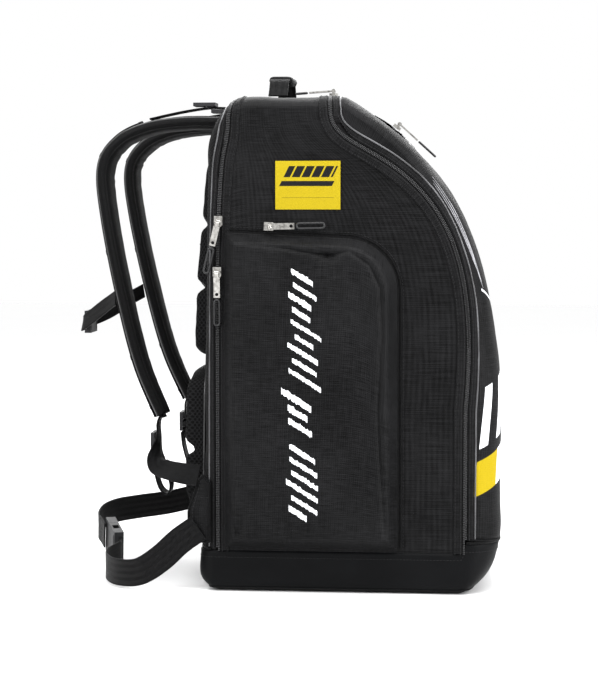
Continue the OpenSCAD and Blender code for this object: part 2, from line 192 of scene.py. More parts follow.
def grid_uv(points):
    """Arc length along the middle row and the middle column of a grid."""
    n, m = points.shape[:2]
    u = distances(points[n // 2])
    v = distances(points[:, m // 2])
    return np.stack(np.meshgrid(u, v), -1).reshape(-1, 2)


def grid_piece(name, points, material, body, flip=False, thick=0.0, uv=None):
    """A sheet through a grid of points; thick goes inwards, away from the faces' outer side."""
    n, m = points.shape[:2]
    piece = mesh_piece(name, points.reshape(-1, 3), grid_faces(n, m, flip), material, body,
                       grid_uv(points) if uv is None else uv)
    if thick:
        thicken(piece, thick)
    return piece


def border(grid):
    """A grid's rim as one run of points."""
    return np.concatenate([grid[0], grid[:, -1], grid[-1, ::-1], grid[::-1, 0]])


def shell_out(piece):
    """Turns an open sheet's faces away from the middle of the bag."""
    face = np.array([f.normal for f in piece.data.polygons])
    mid = np.array([f.center for f in piece.data.polygons]) - np.array(MIDDLE)
    if (face * mid).sum() < 0:
        piece.data.flip_normals()


def thicken(piece, thick):
    shell = piece.modifiers.new("Cloth thickness", "SOLIDIFY")
    shell.thickness = thick * MM
    shell.offset = -1


def grid_normals(points):
    return unit(np.cross(np.gradient(points, axis=0), np.gradient(points, axis=1)))


def frames_along(path, across):
    """Tangent, width direction and thickness direction at each point of a path."""
    t = unit(np.gradient(path, axis=0))
    a = np.broadcast_to(np.asarray(across, float), path.shape)
    w = unit(a - (a * t).sum(1, keepdims=True) * t)
    return t, w, np.cross(t, w)


def swept(name, path, section, across, material, body):
    """Sweeps a closed section of (width, thickness) points along a path, and closes both ends.

    The section may differ from ring to ring. The weave's coordinates run across and along."""
    _, w, u = frames_along(path, across)
    s = np.asarray(section, float)
    s = np.broadcast_to(s, (len(path), *s.shape[-2:]))
    s = np.concatenate([s, s[:, :1]], 1)
    rings = path[:, None] + w[:, None] * s[..., :1] + u[:, None] * s[..., 1:]
    n, m = rings.shape[:2]
    faces = [tuple(f) for f in grid_faces(n, m)]
    faces += [tuple(range(m - 2, -1, -1)), tuple((n - 1) * m + k for k in range(m - 1))]
    uv = np.stack(np.meshgrid(distances(s[n // 2]), distances(path)), -1).reshape(-1, 2)
    piece = mesh_piece(name, rings.reshape(-1, 3), faces, material, body, uv)
    weld(piece)
    return piece


def weld(piece, reach=0.02):
    """Closes the seam where a grid meets itself, and turns every face outwards."""
    bm = bmesh.new()
    bm.from_mesh(piece.data)
    bmesh.ops.remove_doubles(bm, verts=bm.verts, dist=reach * MM)
    bmesh.ops.recalc_face_normals(bm, faces=bm.faces)
    bm.to_mesh(piece.data)
    bm.free()


def round_section(radius, sides=10):
    a = np.linspace(0, 2 * np.pi, sides, endpoint=False)
    return radius * np.stack([np.cos(a), np.sin(a)], 1)


def tube(name, path, radius, material, body, sides=10, across=(0.13, 0.31, 0.94)):
    return swept(name, path, round_section(radius, sides), across, material, body)


def strap_section(wide, thick):
    """Webbing: flat faces, blunt edges, and a slightly raised selvedge."""
    w, t = wide / 2, thick / 2
    half = [(-w, 0), (-w + 0.25 * t, -0.72 * t), (-w + 0.9 * t, -1.0 * t), (-w + 1.6 * t, -0.9 * t),
            (-w / 2, -0.84 * t), (0, -0.8 * t), (w / 2, -0.84 * t), (w - 1.6 * t, -0.9 * t),
            (w - 0.9 * t, -1.0 * t), (w - 0.25 * t, -0.72 * t)]
    return half + [(-x, -y) for x, y in half]


# ---- materials ----

class Maker:
    """Builds one material's nodes."""

    def __init__(self, name, rough=0.6, **uniform):
        self.mat = bpy.data.materials.new(name)
        self.mat.use_nodes = True
        self.tree = self.mat.node_tree
        self.shader = self.tree.nodes["Principled BSDF"]
        self.shader.inputs["Roughness"].default_value = rough
        for key, value in uniform.items():
            self.shader.inputs[key.replace("_", " ")].default_value = value

    def node(self, kind, inputs=None, **settings):
        n = self.tree.nodes.new("ShaderNode" + kind)
        for key, value in settings.items():
            setattr(n, key, value)
        for key, value in (inputs or {}).items():
            if isinstance(value, bpy.types.NodeSocket):
                self.tree.links.new(value, n.inputs[key])
            else:
                n.inputs[key].default_value = value
        return n

    def math(self, operation, a, b=0.0, c=0.0):
        return self.node("Math", {0: a, 1: b, 2: c}, operation=operation).outputs[0]

    def mix(self, factor, a, b):
        return self.node("Mix", {0: factor, 6: a, 7: b}, data_type="RGBA").outputs[2]

    def step(self, value, low, high):
        """0 at low and 1 at high, smooth between them."""
        return self.node("MapRange", {"Value": value, "From Min": low, "From Max": high},
                         interpolation_type="SMOOTHSTEP").outputs[0]

    def noise(self, vector, scale, size=1.0, detail=3.0):
        """Noise on a stretched copy of a coordinate: scale gives features per metre on each axis."""
        v = self.node("Mapping", {"Vector": vector, "Scale": scale}).outputs[0]
        return self.node("TexNoise", {"Vector": v, "Scale": size, "Detail": detail}).outputs[0]

    def ripple(self, value, pitch):
        """-1 to 1, once every pitch metres."""
        return self.math("SINE", self.math("MULTIPLY", value, 2 * math.pi / pitch))

    def weave_place(self):
        uv = self.node("UVMap", uv_map="UVMap").outputs[0]
        parts = self.node("SeparateXYZ", {0: uv})
        return uv, parts.outputs[0], parts.outputs[1]

    def object_place(self):
        at = self.node("TexCoord").outputs["Object"]
        parts = self.node("SeparateXYZ", {0: at})
        return at, *parts.outputs

    def finish(self, colour, height, depth, strength=1.0, rough=None):
        bump = self.node("Bump", {"Strength": strength, "Distance": depth, "Height": height})
        self.tree.links.new(bump.outputs[0], self.shader.inputs["Normal"])
        self.tree.links.new(colour, self.shader.inputs["Base Color"])
        if rough is not None:
            self.tree.links.new(rough, self.shader.inputs["Roughness"])
        return self.mat


def grey(value, tint=(1.0, 1.0, 1.06)):
    return (value * tint[0], value * tint[1], value * tint[2], 1.0)


def woven(m, dark, light):
    """Ribbed polyester: a fine grid of ribs, weft slubs, and slow changes of tone."""
    uv, u, v = m.weave_place()
    slub = m.noise(uv, (60, 900, 1), 1.0, 2.0)
    warp = m.noise(uv, (700, 40, 1), 1.0, 2.0)
    cloud = m.noise(uv, (9, 9, 1), 1.0, 4.0)
    grid = m.math("ADD", m.ripple(u, 0.0023), m.ripple(v, 0.0021))
    tone = m.math("ADD", m.math("MULTIPLY", slub, 0.45), m.math("MULTIPLY", warp, 0.25))
    tone = m.math("ADD", tone, m.math("MULTIPLY", cloud, 0.35))
    tone = m.math("ADD", tone, m.math("MULTIPLY", grid, 0.035))
    fine = m.math("MULTIPLY", m.ripple(u, 0.0007), m.ripple(v, 0.0007))
    height = m.math("ADD", m.math("MULTIPLY", grid, 0.4), m.math("MULTIPLY", slub, 1.6))
    height = m.math("ADD", height, m.math("MULTIPLY", fine, 0.15))
    return m.mix(m.step(tone, 0.32, 0.74), grey(dark), grey(light)), height


WEAVE_DEPTH = 0.00012


def woven_maker(name):
    """A material begun as body cloth, with its colour and height still to be used."""
    m = Maker(name, 0.5, Sheen_Weight=0.01, Sheen_Roughness=0.4, Specular_IOR_Level=0.045)
    return m, *woven(m, 0.0007, 0.0085)


def body_cloth():
    m, colour, height = woven_maker("body_cloth")
    return m.finish(colour, height, WEAVE_DEPTH)


def coated_cloth():
    m = Maker("coated_cloth", 0.42, Sheen_Weight=0.0, Specular_IOR_Level=0.05)
    uv, u, _ = m.weave_place()
    cloud = m.noise(uv, (14, 14, 1), 1.0, 4.0)
    grain = m.noise(uv, (900, 900, 1), 1.0, 2.0)
    tone = m.math("ADD", m.math("MULTIPLY", cloud, 0.7), m.math("MULTIPLY", grain, 0.3))
    height = m.math("ADD", m.math("MULTIPLY", m.ripple(u, 0.0011), 0.3), grain)
    colour = m.mix(m.step(tone, 0.25, 0.8), grey(0.0012, (0.95, 1, 1.15)),
                   grey(0.0032, (0.95, 1, 1.12)))
    return m.finish(colour, height, WEAVE_DEPTH, rough=m.math("MULTIPLY_ADD", cloud, 0.2, 0.38))


def air_mesh(pitch=0.0042):
    """Spacer mesh: staggered holes through a knitted face."""
    m = Maker("air_mesh", 0.7, Sheen_Weight=0.01, Specular_IOR_Level=0.045)
    uv, u, v = m.weave_place()
    rows = []
    for shift in (0.0, 0.5):
        x = m.math("FRACT", m.math("ADD", m.math("DIVIDE", u, pitch), shift))
        y = m.math("FRACT", m.math("ADD", m.math("DIVIDE", v, pitch * 1.5), shift))
        x, y = m.math("SUBTRACT", x, 0.5), m.math("SUBTRACT", y, 0.5)
        rows.append(m.math("SQRT", m.math("ADD", m.math("MULTIPLY", x, x),
                                          m.math("MULTIPLY", m.math("MULTIPLY", y, y), 1.6))))
    ridge = m.step(m.math("MINIMUM", *rows), 0.2, 0.36)
    knit = m.noise(uv, (1500, 900, 1), 1.0, 2.0)
    thread = m.mix(knit, grey(0.002), grey(0.009))
    height = m.math("ADD", ridge, m.math("MULTIPLY", knit, 0.3))
    return m.finish(m.mix(ridge, grey(0.0006), thread), height, 0.0008)


def ribbed_mesh():
    """Knit on the harness pads' edges: fine ribs along the pad."""
    m = Maker("ribbed_mesh", 0.66, Sheen_Weight=0.01, Specular_IOR_Level=0.045)
    uv, u, v = m.weave_place()
    rib = m.ripple(u, 0.0022)
    cell = m.math("MULTIPLY", rib, m.ripple(v, 0.0026))
    fuzz = m.noise(uv, (500, 500, 1), 1.0, 2.0)
    tone = m.math("ADD", m.math("MULTIPLY", cell, 0.2), fuzz)
    return m.finish(m.mix(m.step(tone, 0.25, 0.8), grey(0.0012), grey(0.006)), cell, 0.0004)


def webbing(name="webbing", low=0.0012, high=0.006):
    """Flat nylon webbing: diagonal ribs in a herringbone."""
    m = Maker(name, 0.45, Sheen_Weight=0.01, Specular_IOR_Level=0.0456)
    uv, u, v = m.weave_place()
    zig = m.math("PINGPONG", u, 0.0035)
    rib = m.ripple(m.math("ADD", v, zig), 0.0017)
    fuzz = m.noise(uv, (700, 200, 1), 1.0, 2.0)
    tone = m.math("ADD", m.math("MULTIPLY", rib, 0.18), fuzz)
    return m.finish(m.mix(m.step(tone, 0.25, 0.8), grey(low), grey(high)),
                    m.math("ADD", rib, m.math("MULTIPLY", fuzz, 0.5)), 0.00025)


def tape_cloth():
    m = Maker("tape_cloth", 0.6, Sheen_Weight=0.01, Specular_IOR_Level=0.06)
    uv, u, v = m.weave_place()
    rib = m.math("MULTIPLY", m.ripple(u, 0.0012), m.ripple(v, 0.0016))
    fuzz = m.noise(uv, (900, 300, 1), 1.0, 2.0)
    tone = m.math("ADD", m.math("MULTIPLY", rib, 0.2), fuzz)
    return m.finish(m.mix(m.step(tone, 0.2, 0.85), grey(0.001), grey(0.004)), rib, 0.0002)


def coil_plastic():
    m = Maker("coil_plastic", 0.3, Specular_IOR_Level=0.3)
    at, _, _, _ = m.object_place()
    speck = m.noise(at, (800, 800, 800), 1.0, 1.0)
    return m.finish(m.mix(speck, grey(0.006), grey(0.02)), speck, 0.0001)


def trim_shine(name, low, high, rough):
    """Reflective or coated piping: smooth, with faint creases along it."""
    m = Maker(name, rough, Specular_IOR_Level=0.4, Coat_Weight=0.15)
    uv, _, _ = m.weave_place()
    crease = m.noise(uv, (300, 60, 1), 1.0, 3.0)
    # Lighter and darker patches at random along the trim; the lighter ones are a painted highlight.
    highlight_patches = m.noise(uv, (20, 20, 1), 1.0, 3.0)
    return m.finish(m.mix(m.step(highlight_patches, 0.3, 0.7), grey(low), grey(high)), crease, 0.0002)


def thread():
    m = Maker("thread", 0.6, Sheen_Weight=0.03, Specular_IOR_Level=0.1)
    at, _, _, _ = m.object_place()
    twist = m.noise(at, (1600, 1600, 1600), 1.0, 1.0)
    return m.finish(m.mix(twist, grey(0.005), grey(0.016)), twist, 0.0001)


def buckle_plastic():
    m = Maker("buckle_plastic", 0.5, Specular_IOR_Level=0.1)
    at, _, _, _ = m.object_place()
    grain = m.noise(at, (2500, 2500, 2500), 1.0, 2.0)
    scuff = m.noise(at, (90, 90, 90), 1.0, 5.0)
    # Edges paler where the moulding is pointed: a painted highlight along the buckle's edges.
    edge = m.step(m.node("NewGeometry").outputs["Pointiness"], 0.52, 0.6)
    colour = m.mix(m.math("MULTIPLY", edge, 0.5), m.mix(scuff, grey(0.003), grey(0.008)), grey(0.03))
    return m.finish(colour, grain, 0.00006, rough=m.math("MULTIPLY_ADD", scuff, 0.22, 0.36))


def nickel():
    m = Maker("nickel", 0.2, Metallic=1.0)
    at, _, _, _ = m.object_place()
    brushed = m.noise(at, (400, 400, 2600), 1.0, 2.0)
    spots = m.noise(at, (260, 260, 260), 1.0, 4.0)
    colour = m.mix(m.step(spots, 0.35, 0.75), grey(0.5, (1, 0.98, 0.93)), grey(0.2, (1, 0.96, 0.9)))
    return m.finish(colour, brushed, 0.00003, rough=m.math("MULTIPLY_ADD", spots, 0.2, 0.12))


def cord_rubber():
    m = Maker("cord_rubber", 0.45, Specular_IOR_Level=0.25)
    at, _, _, _ = m.object_place()
    braid = m.noise(at, (1800, 1800, 1800), 1.0, 2.0)
    return m.finish(m.mix(braid, grey(0.004), grey(0.016)), braid, 0.0002)


def board_plastic():
    m = Maker("board_plastic", 0.55)
    at, _, _, _ = m.object_place()
    grain = m.noise(at, (700, 700, 700), 1.0, 3.0)
    return m.finish(m.mix(grain, grey(0.02), grey(0.06)), grain, 0.0002)


def lining_cloth(name="lining_cloth", dark=0.03, light=0.075, sheen=0.15):
    m = Maker(name, 0.7, Sheen_Weight=sheen, Specular_IOR_Level=0.1)
    at, x, y, z = m.object_place()
    rib = m.math("MULTIPLY", m.ripple(m.math("ADD", x, y), 0.0016), m.ripple(z, 0.0016))
    cloud = m.noise(at, (25, 25, 25), 1.0, 3.0)
    return m.finish(m.mix(cloud, grey(dark), grey(light)), rib, 0.0001)


def band(m, value, low, high, soft=0.0006):
    """1 where low < value < high."""
    return m.math("MULTIPLY", m.step(value, low - soft, low + soft),
                  m.math("SUBTRACT", 1.0, m.step(value, high - soft, high + soft)))


def printed(m, colour, mask, ink):
    return m.mix(mask, colour, ink)


def within(m, value, half, soft):
    """1 where value is under half, fading over soft to each side of it."""
    return m.math("SUBTRACT", 1.0, m.step(m.math("SUBTRACT", value, half), -soft, soft))


def repeating(m, value, pitch):
    """How far value is into its present stretch of pitch."""
    return m.math("MULTIPLY", m.math("FRACT", m.math("DIVIDE", value, pitch)), pitch)


WHITE_INK = (0.66, 0.67, 0.69, 1.0)
YELLOW_INK = (0.27, 0.2, 0.004, 1.0)


def pocket_cloth(pitch=0.0135):
    """Body cloth with a column of plain slanted brush strokes, in three groups."""
    m, colour, height = woven_maker("pocket_cloth")
    at, x, _, z = m.object_place()
    ragged = m.math("MULTIPLY", m.math("SUBTRACT", m.noise(at, (300, 300, 300), 1.0, 4.0), 0.5), 0.006)
    lean = m.math("ADD", m.math("MULTIPLY_ADD", x, 0.62, z), ragged)
    number = m.math("FLOOR", m.math("DIVIDE", lean, pitch))
    chance, other = (m.node("TexWhiteNoise", {"W": w}, noise_dimensions="1D").outputs[0]
                     for w in (number, m.math("ADD", number, 40.5)))
    middle = m.math("ABSOLUTE", m.math("ADD", m.math("ADD", x, 0.044),
                                       m.math("MULTIPLY_ADD", other, 0.014, -0.007)))
    across = within(m, middle, m.math("MULTIPLY_ADD", chance, 0.008, 0.0095), 0.0006)
    thick = m.math("MULTIPLY", m.math("MULTIPLY_ADD", other, 0.0022, 0.0024), 0.8)
    off_line = m.math("ABSOLUTE", m.math("SUBTRACT", repeating(m, lean, pitch), 0.0065))
    stroke = m.math("MULTIPLY", within(m, off_line, thick, 0.0004), across)
    groups = m.math("MAXIMUM", band(m, number, 3.5, 9.5), band(m, number, 10.5, 13.5))
    groups = m.math("MAXIMUM", groups, band(m, number, 14.5, 23.5))
    mask = m.math("MULTIPLY", stroke, groups)
    return m.finish(printed(m, colour, mask, WHITE_INK), height, WEAVE_DEPTH)


def front_cloth():
    """Body cloth with plain bands across the front: yellow and white, white bars and a line."""
    m, colour, height = woven_maker("front_cloth")
    _, x, y, z = m.object_place()
    girth = m.math("SUBTRACT", m.math("MULTIPLY", y, -1.0), x)
    lean = m.math("MULTIPLY_ADD", z, 0.14, girth)
    risen = m.math("MULTIPLY_ADD", m.math("MAXIMUM", girth, -0.02), 0.3, z)
    lower = band(m, risen, 0.118, 0.155)
    colour = printed(m, colour, m.math("MULTIPLY", lower, band(m, lean, 0.014, 0.055)), YELLOW_INK)
    colour = printed(m, colour, m.math("MULTIPLY", lower, band(m, lean, -0.27, 0.014)), WHITE_INK)
    block = m.math("MULTIPLY", band(m, risen, 0.168, 0.232), band(m, lean, -0.26, 0.054))
    bars = band(m, repeating(m, lean, 0.034), 0.006, 0.0205)
    colour = printed(m, colour, m.math("MULTIPLY", block, bars), WHITE_INK)
    bow = m.math("MULTIPLY_ADD", m.math("MULTIPLY", y, y), -1.6, z)
    bowed = m.math("MULTIPLY", band(m, bow, 0.283, 0.2855), band(m, girth, -0.26, 0.022))
    return m.finish(printed(m, colour, bowed, WHITE_INK), height, WEAVE_DEPTH)


def label_cloth():
    """Yellow label with a row of slanted blocks, a plain black bar and a ruled line."""
    m = Maker("label_cloth", 0.6, Specular_IOR_Level=0.08)
    at, x, _, z = m.object_place()
    rib = m.math("MULTIPLY", m.ripple(x, 0.0009), m.ripple(z, 0.0009))
    cloud = m.noise(at, (40, 40, 40), 1.0, 3.0)
    colour = m.mix(cloud, (0.27, 0.205, 0.0035, 1), (0.25, 0.187, 0.003, 1))
    ink = grey(0.004)
    lean = m.math("MULTIPLY_ADD", z, -0.5, x)
    blocks = band(m, repeating(m, lean, 0.0105), 0.0018, 0.0105, 0.0003)
    blocks = m.math("MULTIPLY", blocks, band(m, lean, -0.2905, -0.2375, 0.0003))
    blocks = m.math("MULTIPLY", blocks, band(m, z, 0.4505, 0.4625, 0.0003))
    bar = m.math("MULTIPLY", band(m, z, 0.441, 0.4465, 0.0003), band(m, lean, -0.2905, -0.2335, 0.0003))
    colour = printed(m, colour, m.math("MAXIMUM", blocks, bar), ink)
    ruled = m.math("MULTIPLY", band(m, z, 0.4285, 0.429, 0.0002), band(m, x, -0.067, -0.011))
    colour = printed(m, colour, m.math("MULTIPLY", ruled, 0.6), ink)
    return m.finish(colour, rib, 0.00008)


CLOTH = body_cloth()
MESH = air_mesh()
RIBBED = ribbed_mesh()
COATED = coated_cloth()
WEBBING = webbing()
BINDING = webbing("binding", 0.0012, 0.0045)
TAPE = tape_cloth()
COIL = coil_plastic()
SILVER = trim_shine("silver_piping", 0.012, 0.06, 0.3)
REFLECTIVE = trim_shine("reflective_print", 0.07, 0.3, 0.3)
DARK_PIPING = trim_shine("dark_piping", 0.004, 0.014, 0.32)
THREAD = thread()
PLASTIC = buckle_plastic()
NICKEL = nickel()
CORD = cord_rubber()
LINING = lining_cloth()
BACKING = lining_cloth("backing_cloth", 0.003, 0.008, 0.02)
POCKET_CLOTH = pocket_cloth()
FRONT_CLOTH = front_cloth()
LABEL = label_cloth()
BOARD = board_plastic()


# ---- the bag's outline: stations along the side view, at an inset e from its widest side ----

def front_run(e):
    """From the seam over the base tray, up the front, to the front zip on top."""
    top = BAG_H - e * TOP_DROP / EDGE_R
    end = -16.6 + e * 1.6 / EDGE_R
    return joined(
        arc([FRONT - 46, 80], [46 - e, 80 - e * 12 / EDGE_R], -17.1, 0, 4),
        line([FRONT - e, 80], [FRONT - e, 130], 9),
        bezier([FRONT - e, 130], [FRONT + 4 - 0.85 * e, 340],
               [140 - 0.3 * e, BAG_H - 78 - 0.3 * e], [-0.1 * e, top], 88),
        line([-0.1 * e, top], [end, top], 3))


def rear_run(e):
    """From the rear zip on top, down the rear face, to the seam over the base tray."""
    r, t = e * BACK_DROP / EDGE_R, e * TOP_DROP / EDGE_R
    return joined(
        arc(NAPE, [NAPE_R[0] - r, NAPE_R[1] - t], 109.7 + 17.3 * e / EDGE_R, 180, 18),
        line([-152 + r, NAPE[1]], [-152.2 - 5.5 + r, SEAM_H + 0.7], 84))


def top_line(e, x):
    """Height of the upper outline at inset e."""
    r, t = e * BACK_DROP / EDGE_R, e * TOP_DROP / EDGE_R
    back = np.clip((NAPE[0] - x) / (NAPE_R[0] - r), 0, 1)
    return np.where(x > NAPE[0], BAG_H - t, NAPE[1] + (NAPE_R[1] - t) * np.sqrt(1 - back**2))


REAR_ZIP = joined(line([-137, SEAM_H], [-137, 318], 40),
                  bezier([-137, 318], [-137, 440], [-131, 512], [-112, 560], 40))
FRONT_ZIP = joined(line([131, SEAM_H], [131, 200], 24),
                   bezier([131, 200], [143, 345], [120, 420], [40, 470], 40),
                   bezier([40, 470], [10, 487], [-10, 500], [-18, 560], 30))


def zip_x(zip_line, z):
    return np.interp(z, zip_line[:, 1], zip_line[:, 0])


def inset_at_zip(p0, p38, zip_line, reach=150):
    """Inset at which a station's line crosses the zip."""
    e = np.linspace(5, reach, 600)
    q = p0 + (p38 - p0) * e[:, None] / EDGE_R
    side = q[:, 0] - zip_x(zip_line, q[:, 1])
    crossed = np.nonzero(side * side[0] <= 0)[0]
    return e[crossed[0]] if len(crossed) else reach


ROUND = np.radians(np.linspace(90, 0, 11))


def door_section(p0, p38, e_end, across_rows=56):
    """One cross-section of a door: flat to the side, round the edge, across, and back."""
    flat = np.linspace(e_end, EDGE_R, 7)[:-1]
    e = np.concatenate([flat, EDGE_R * (1 - np.cos(ROUND))])
    y = np.concatenate([np.full(6, HALF_W), HALF_W - EDGE_R + EDGE_R * np.sin(ROUND)])
    xz = p0 + (p38 - p0) * e[:, None] / EDGE_R
    left = np.stack([xz[:, 0], -y, xz[:, 1]], 1)
    middle = np.linspace(left[-1], left[-1] * [1, -1, 1], across_rows + 1)[1:-1]
    return np.concatenate([left, middle, left[::-1] * [1, -1, 1]])


def door_grid(run, zip_line, shift, last_end, first_is_top):
    """All the cross-sections of a door, ending shift mm short of its zip."""
    p0, p38 = run(0), run(EDGE_R)
    ends = []
    for a, b in zip(p0, p38):
        e = inset_at_zip(a, b, zip_line)
        ends.append(e - shift / max(np.linalg.norm(b - a) / EDGE_R, 0.2))
    ends = np.array(ends)
    ends[0 if first_is_top else -1] = last_end
    return np.stack([door_section(a, b, e) for a, b, e in zip(p0, p38, ends)])


def soften(points, reach, depth, seed, edge=26):
    """Fabric under light tension: full between its seams, faintly wavy, gathered near its edges."""
    n = grid_normals(points)
    flat = points.reshape(-1, 3)
    across = distances(points[points.shape[0] // 2])
    along = distances(points[:, points.shape[1] // 2])
    da = np.minimum(across, across[-1] - across)[None, :]
    dl = np.minimum(along, along[-1] - along)[:, None]
    d = np.minimum(da, dl)
    full = smoothstep(d / reach) * depth
    wave = waviness(flat, 70, seed) * 2.0 + waviness(flat * [1, 1, 0.45], 20, seed + 3) * 0.6
    wave = wave.reshape(d.shape)
    pucker = waviness(flat, 9, seed + 7).reshape(d.shape) * np.exp(-d / 9) * 0.5
    amount = full + wave * smoothstep(d / edge) + pucker * smoothstep(d / 3)
    return points + n * amount[..., None]


# ---- bag body: one sheet over both sides and the top, a base, and two doors ----

TOP_ENDS = {0: (-120.2, -16.6), EDGE_R: (-125.2, -15.0)}


def side_skin_grid(columns=56, rows=96, top_rows=62):
    """Rows from the left seam up the left side, over the top and down the right side."""
    u = np.linspace(0, 1, columns)

    def top_row(e):
        rear, front = (TOP_ENDS[0][k] + (TOP_ENDS[EDGE_R][k] - TOP_ENDS[0][k]) * e / EDGE_R for k in (0, 1))
        x = (rear + ZIP_GAP) * (1 - u) + (front - ZIP_GAP) * u
        return x, top_line(e, x)

    x38, z38 = top_row(EDGE_R)
    left = []
    for v in np.linspace(0, 1, rows):
        z = SEAM_H + v * (z38 - SEAM_H)
        rear, front = zip_x(REAR_ZIP, z) + ZIP_GAP, zip_x(FRONT_ZIP, z) - ZIP_GAP
        x = rear * (1 - u) + front * u
        x = x + (x38 - x) * smoothstep((v - 0.9) / 0.1)
        left.append(np.stack([x, np.full(columns, -HALF_W), z], 1))
    for a in ROUND[1:]:
        x, z = top_row(EDGE_R * (1 - np.cos(a)))
        left.append(np.stack([x, np.full(columns, -(HALF_W - EDGE_R + EDGE_R * np.sin(a))), z], 1))
    left = np.array(left)
    middle = np.linspace(left[-1], left[-1] * [1, -1, 1], top_rows + 1)[1:-1]
    return np.concatenate([left, middle, left[::-1] * [1, -1, 1]])


def pocket_outline(d, n=12):
    """Side view of the side pocket's foot, inset all round by d."""
    return joined(line([-128 + 0.7 * d, 50 + 0.6 * d], [57 - d, 50 + 0.6 * d], 24),
                  line([57 - d, 50 + 0.6 * d], [56 - d, 330], 34),
                  arc([0, 330], [56 - d, 54 - d], 0, 90, n),
                  line([0, 384 - d], [-128 + 0.7 * d, 390 - d], 16),
                  line([-128 + 0.7 * d, 390 - d], [-128 + 0.7 * d, 50 + 0.6 * d], 40))


def inside(points, polygon):
    """Which points lie inside a closed polyline."""
    x, z = np.asarray(points, float).T
    hit = np.zeros(len(x), bool)
    for (x0, z0), (x1, z1) in zip(polygon[:-1], polygon[1:]):
        if abs(z1 - z0) > 1e-9:
            hit ^= ((z0 > z) != (z1 > z)) & (x < (x1 - x0) * (z - z0) / (z1 - z0) + x0)
    return hit


def nearest_on(point, path):
    best, found = 1e9, None
    for a, b in zip(path[:-1], path[1:]):
        t = np.clip((point - a) @ (b - a) / max((b - a) @ (b - a), 1e-9), 0, 1)
        q = a + t * (b - a)
        if np.linalg.norm(point - q) < best:
            best, found = np.linalg.norm(point - q), q
    return found


def cut_window(piece, outline, side):
    """Cuts the pocket's mouth out of the side, with its edge drawn onto the outline."""
    bm = bmesh.new()
    bm.from_mesh(piece.data)

    def flat(v):
        return np.array([v.co.x, v.co.z]) / MM

    on_side = [v for v in bm.verts if v.co.y * side > 0.17]
    enclosed = dict(zip(on_side, inside([flat(v) for v in on_side], outline)))
    gone = [f for f in bm.faces if all(enclosed.get(v, False) for v in f.verts)]
    lost = set(gone)
    rim = {v for f in gone for v in f.verts if any(g not in lost for g in v.link_faces)}
    bmesh.ops.delete(bm, geom=gone, context="FACES")
    for v in rim:
        if v.is_valid:
            q = nearest_on(flat(v), outline)
            v.co.x, v.co.z = q[0] * MM, q[1] * MM
    bm.to_mesh(piece.data)
    bm.free()


side_points = soften(side_skin_grid(), 40, 0.8, 2.0)
side_skin = grid_piece("side_and_top_cloth", side_points, CLOTH, "bag", flip=True)
for side in (-1, 1):
    cut_window(side_skin, pocket_outline(5), side)
thicken(side_skin, 2.0)
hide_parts("side_panel_left", "side_panel_right", "top_panel")

front_points = soften(door_grid(front_run, FRONT_ZIP, ZIP_GAP, 80, False), 45, 1.6, 5.0)
front_skin = grid_piece("front_cloth", front_points, FRONT_CLOTH, "front_door", thick=2.0, flip=True)
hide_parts("front_shell")

rear_points = soften(door_grid(rear_run, REAR_ZIP, ZIP_GAP, 58, True), 45, 1.0, 9.0)
rear_skin = grid_piece("rear_mesh_cloth", rear_points, MESH, "rear_door", thick=2.0, flip=True)
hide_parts("back_panel")

for skin in (side_skin, front_skin, rear_skin):
    skin.data.materials.append(BACKING)
    skin.modifiers["Cloth thickness"].material_offset = 1


def plan_loop():
    """The base's outline seen from above, with its outward corners rounded."""
    quarter = [arc([FRONT - EDGE_R, HALF_W - EDGE_R], [EDGE_R, EDGE_R], 90, 0, 12)]
    back = arc([-REAR + 16, HALF_W - 16], [16, 16], 180, 90, 7)
    half = joined(line([-REAR, 0], back[0], 26), back, line(back[-1], quarter[0][0], 44), quarter[0],
                  line(quarter[0][-1], [FRONT, 0], 24))
    return np.concatenate([half[:-1], (half * [1, -1])[::-1][:-1]])


def base_grid():
    """Rows down the base's walls, round the bottom edge and in to the middle."""
    loop = plan_loop()
    loop = np.concatenate([loop, loop[:1]])
    top = SEAM_H - 0.3 + (FRONT_SEAM_H - SEAM_H) * smoothstep((loop[:, 0] - 127) / 6)
    rows = []
    for k in np.linspace(1, 0, 16):
        z = 0.6 + (top - 0.6) * k**1.25
        q = loop.copy()
        ahead = np.sqrt(np.clip(1 - ((80 - z) / 80) ** 2, 0, 1))
        q[:, 0] = np.where(q[:, 0] > 125, 125 + (q[:, 0] - 125) * ahead, q[:, 0])
        behind = np.sqrt(np.clip(1 - ((22 - z) / 22) ** 2, 0, 1))
        q[:, 0] = np.where((q[:, 0] < -136) & (z < 22), -136 + (q[:, 0] + 136) * behind, q[:, 0])
        tuck = 9 * (1 - np.sqrt(np.clip(1 - (np.clip(11 - z, 0, 11) / 11) ** 2, 0, 1)))
        q[:, 1] *= 1 - tuck / HALF_W
        rows.append(np.column_stack([q, z]))
    for k in (0.97, 0.9, 0.75, 0.5, 0.25, 0.02):
        rows.append(rows[15] * [k, k, 1])
    return np.array(rows)


base_points = base_grid()
base_out = grid_normals(base_points)
base_out *= np.sign((base_out[4] * base_points[4]).sum())
down = np.linspace(0, 1, len(base_points))
fall = smoothstep(down / 0.3) * smoothstep((0.72 - down) / 0.3)
base_points = base_points + base_out * (
    fall[:, None] * (1.0 + 0.9 * waviness(base_points, 40, 4.0)))[..., None]
base_skin = grid_piece("base_cloth", base_points, COATED, "bag", thick=2.4)
weld(base_skin)
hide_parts("base_tray")


# ---- side pockets: one soft panel each, folding on the line between its zip ends ----

POCKET_OUT = 20.0
POCKET_FOLD = np.array([(-95, 378), (-60, 374), (-17, 367), (6, 372), (28, 358), (40, 333),
                        (42, 286), (38, 200), (40, 150), (44, 90), (46, 64)], float)
POCKET_PLEAT = np.array([(-17, 366), (-10, 330), (2, 290)], float)


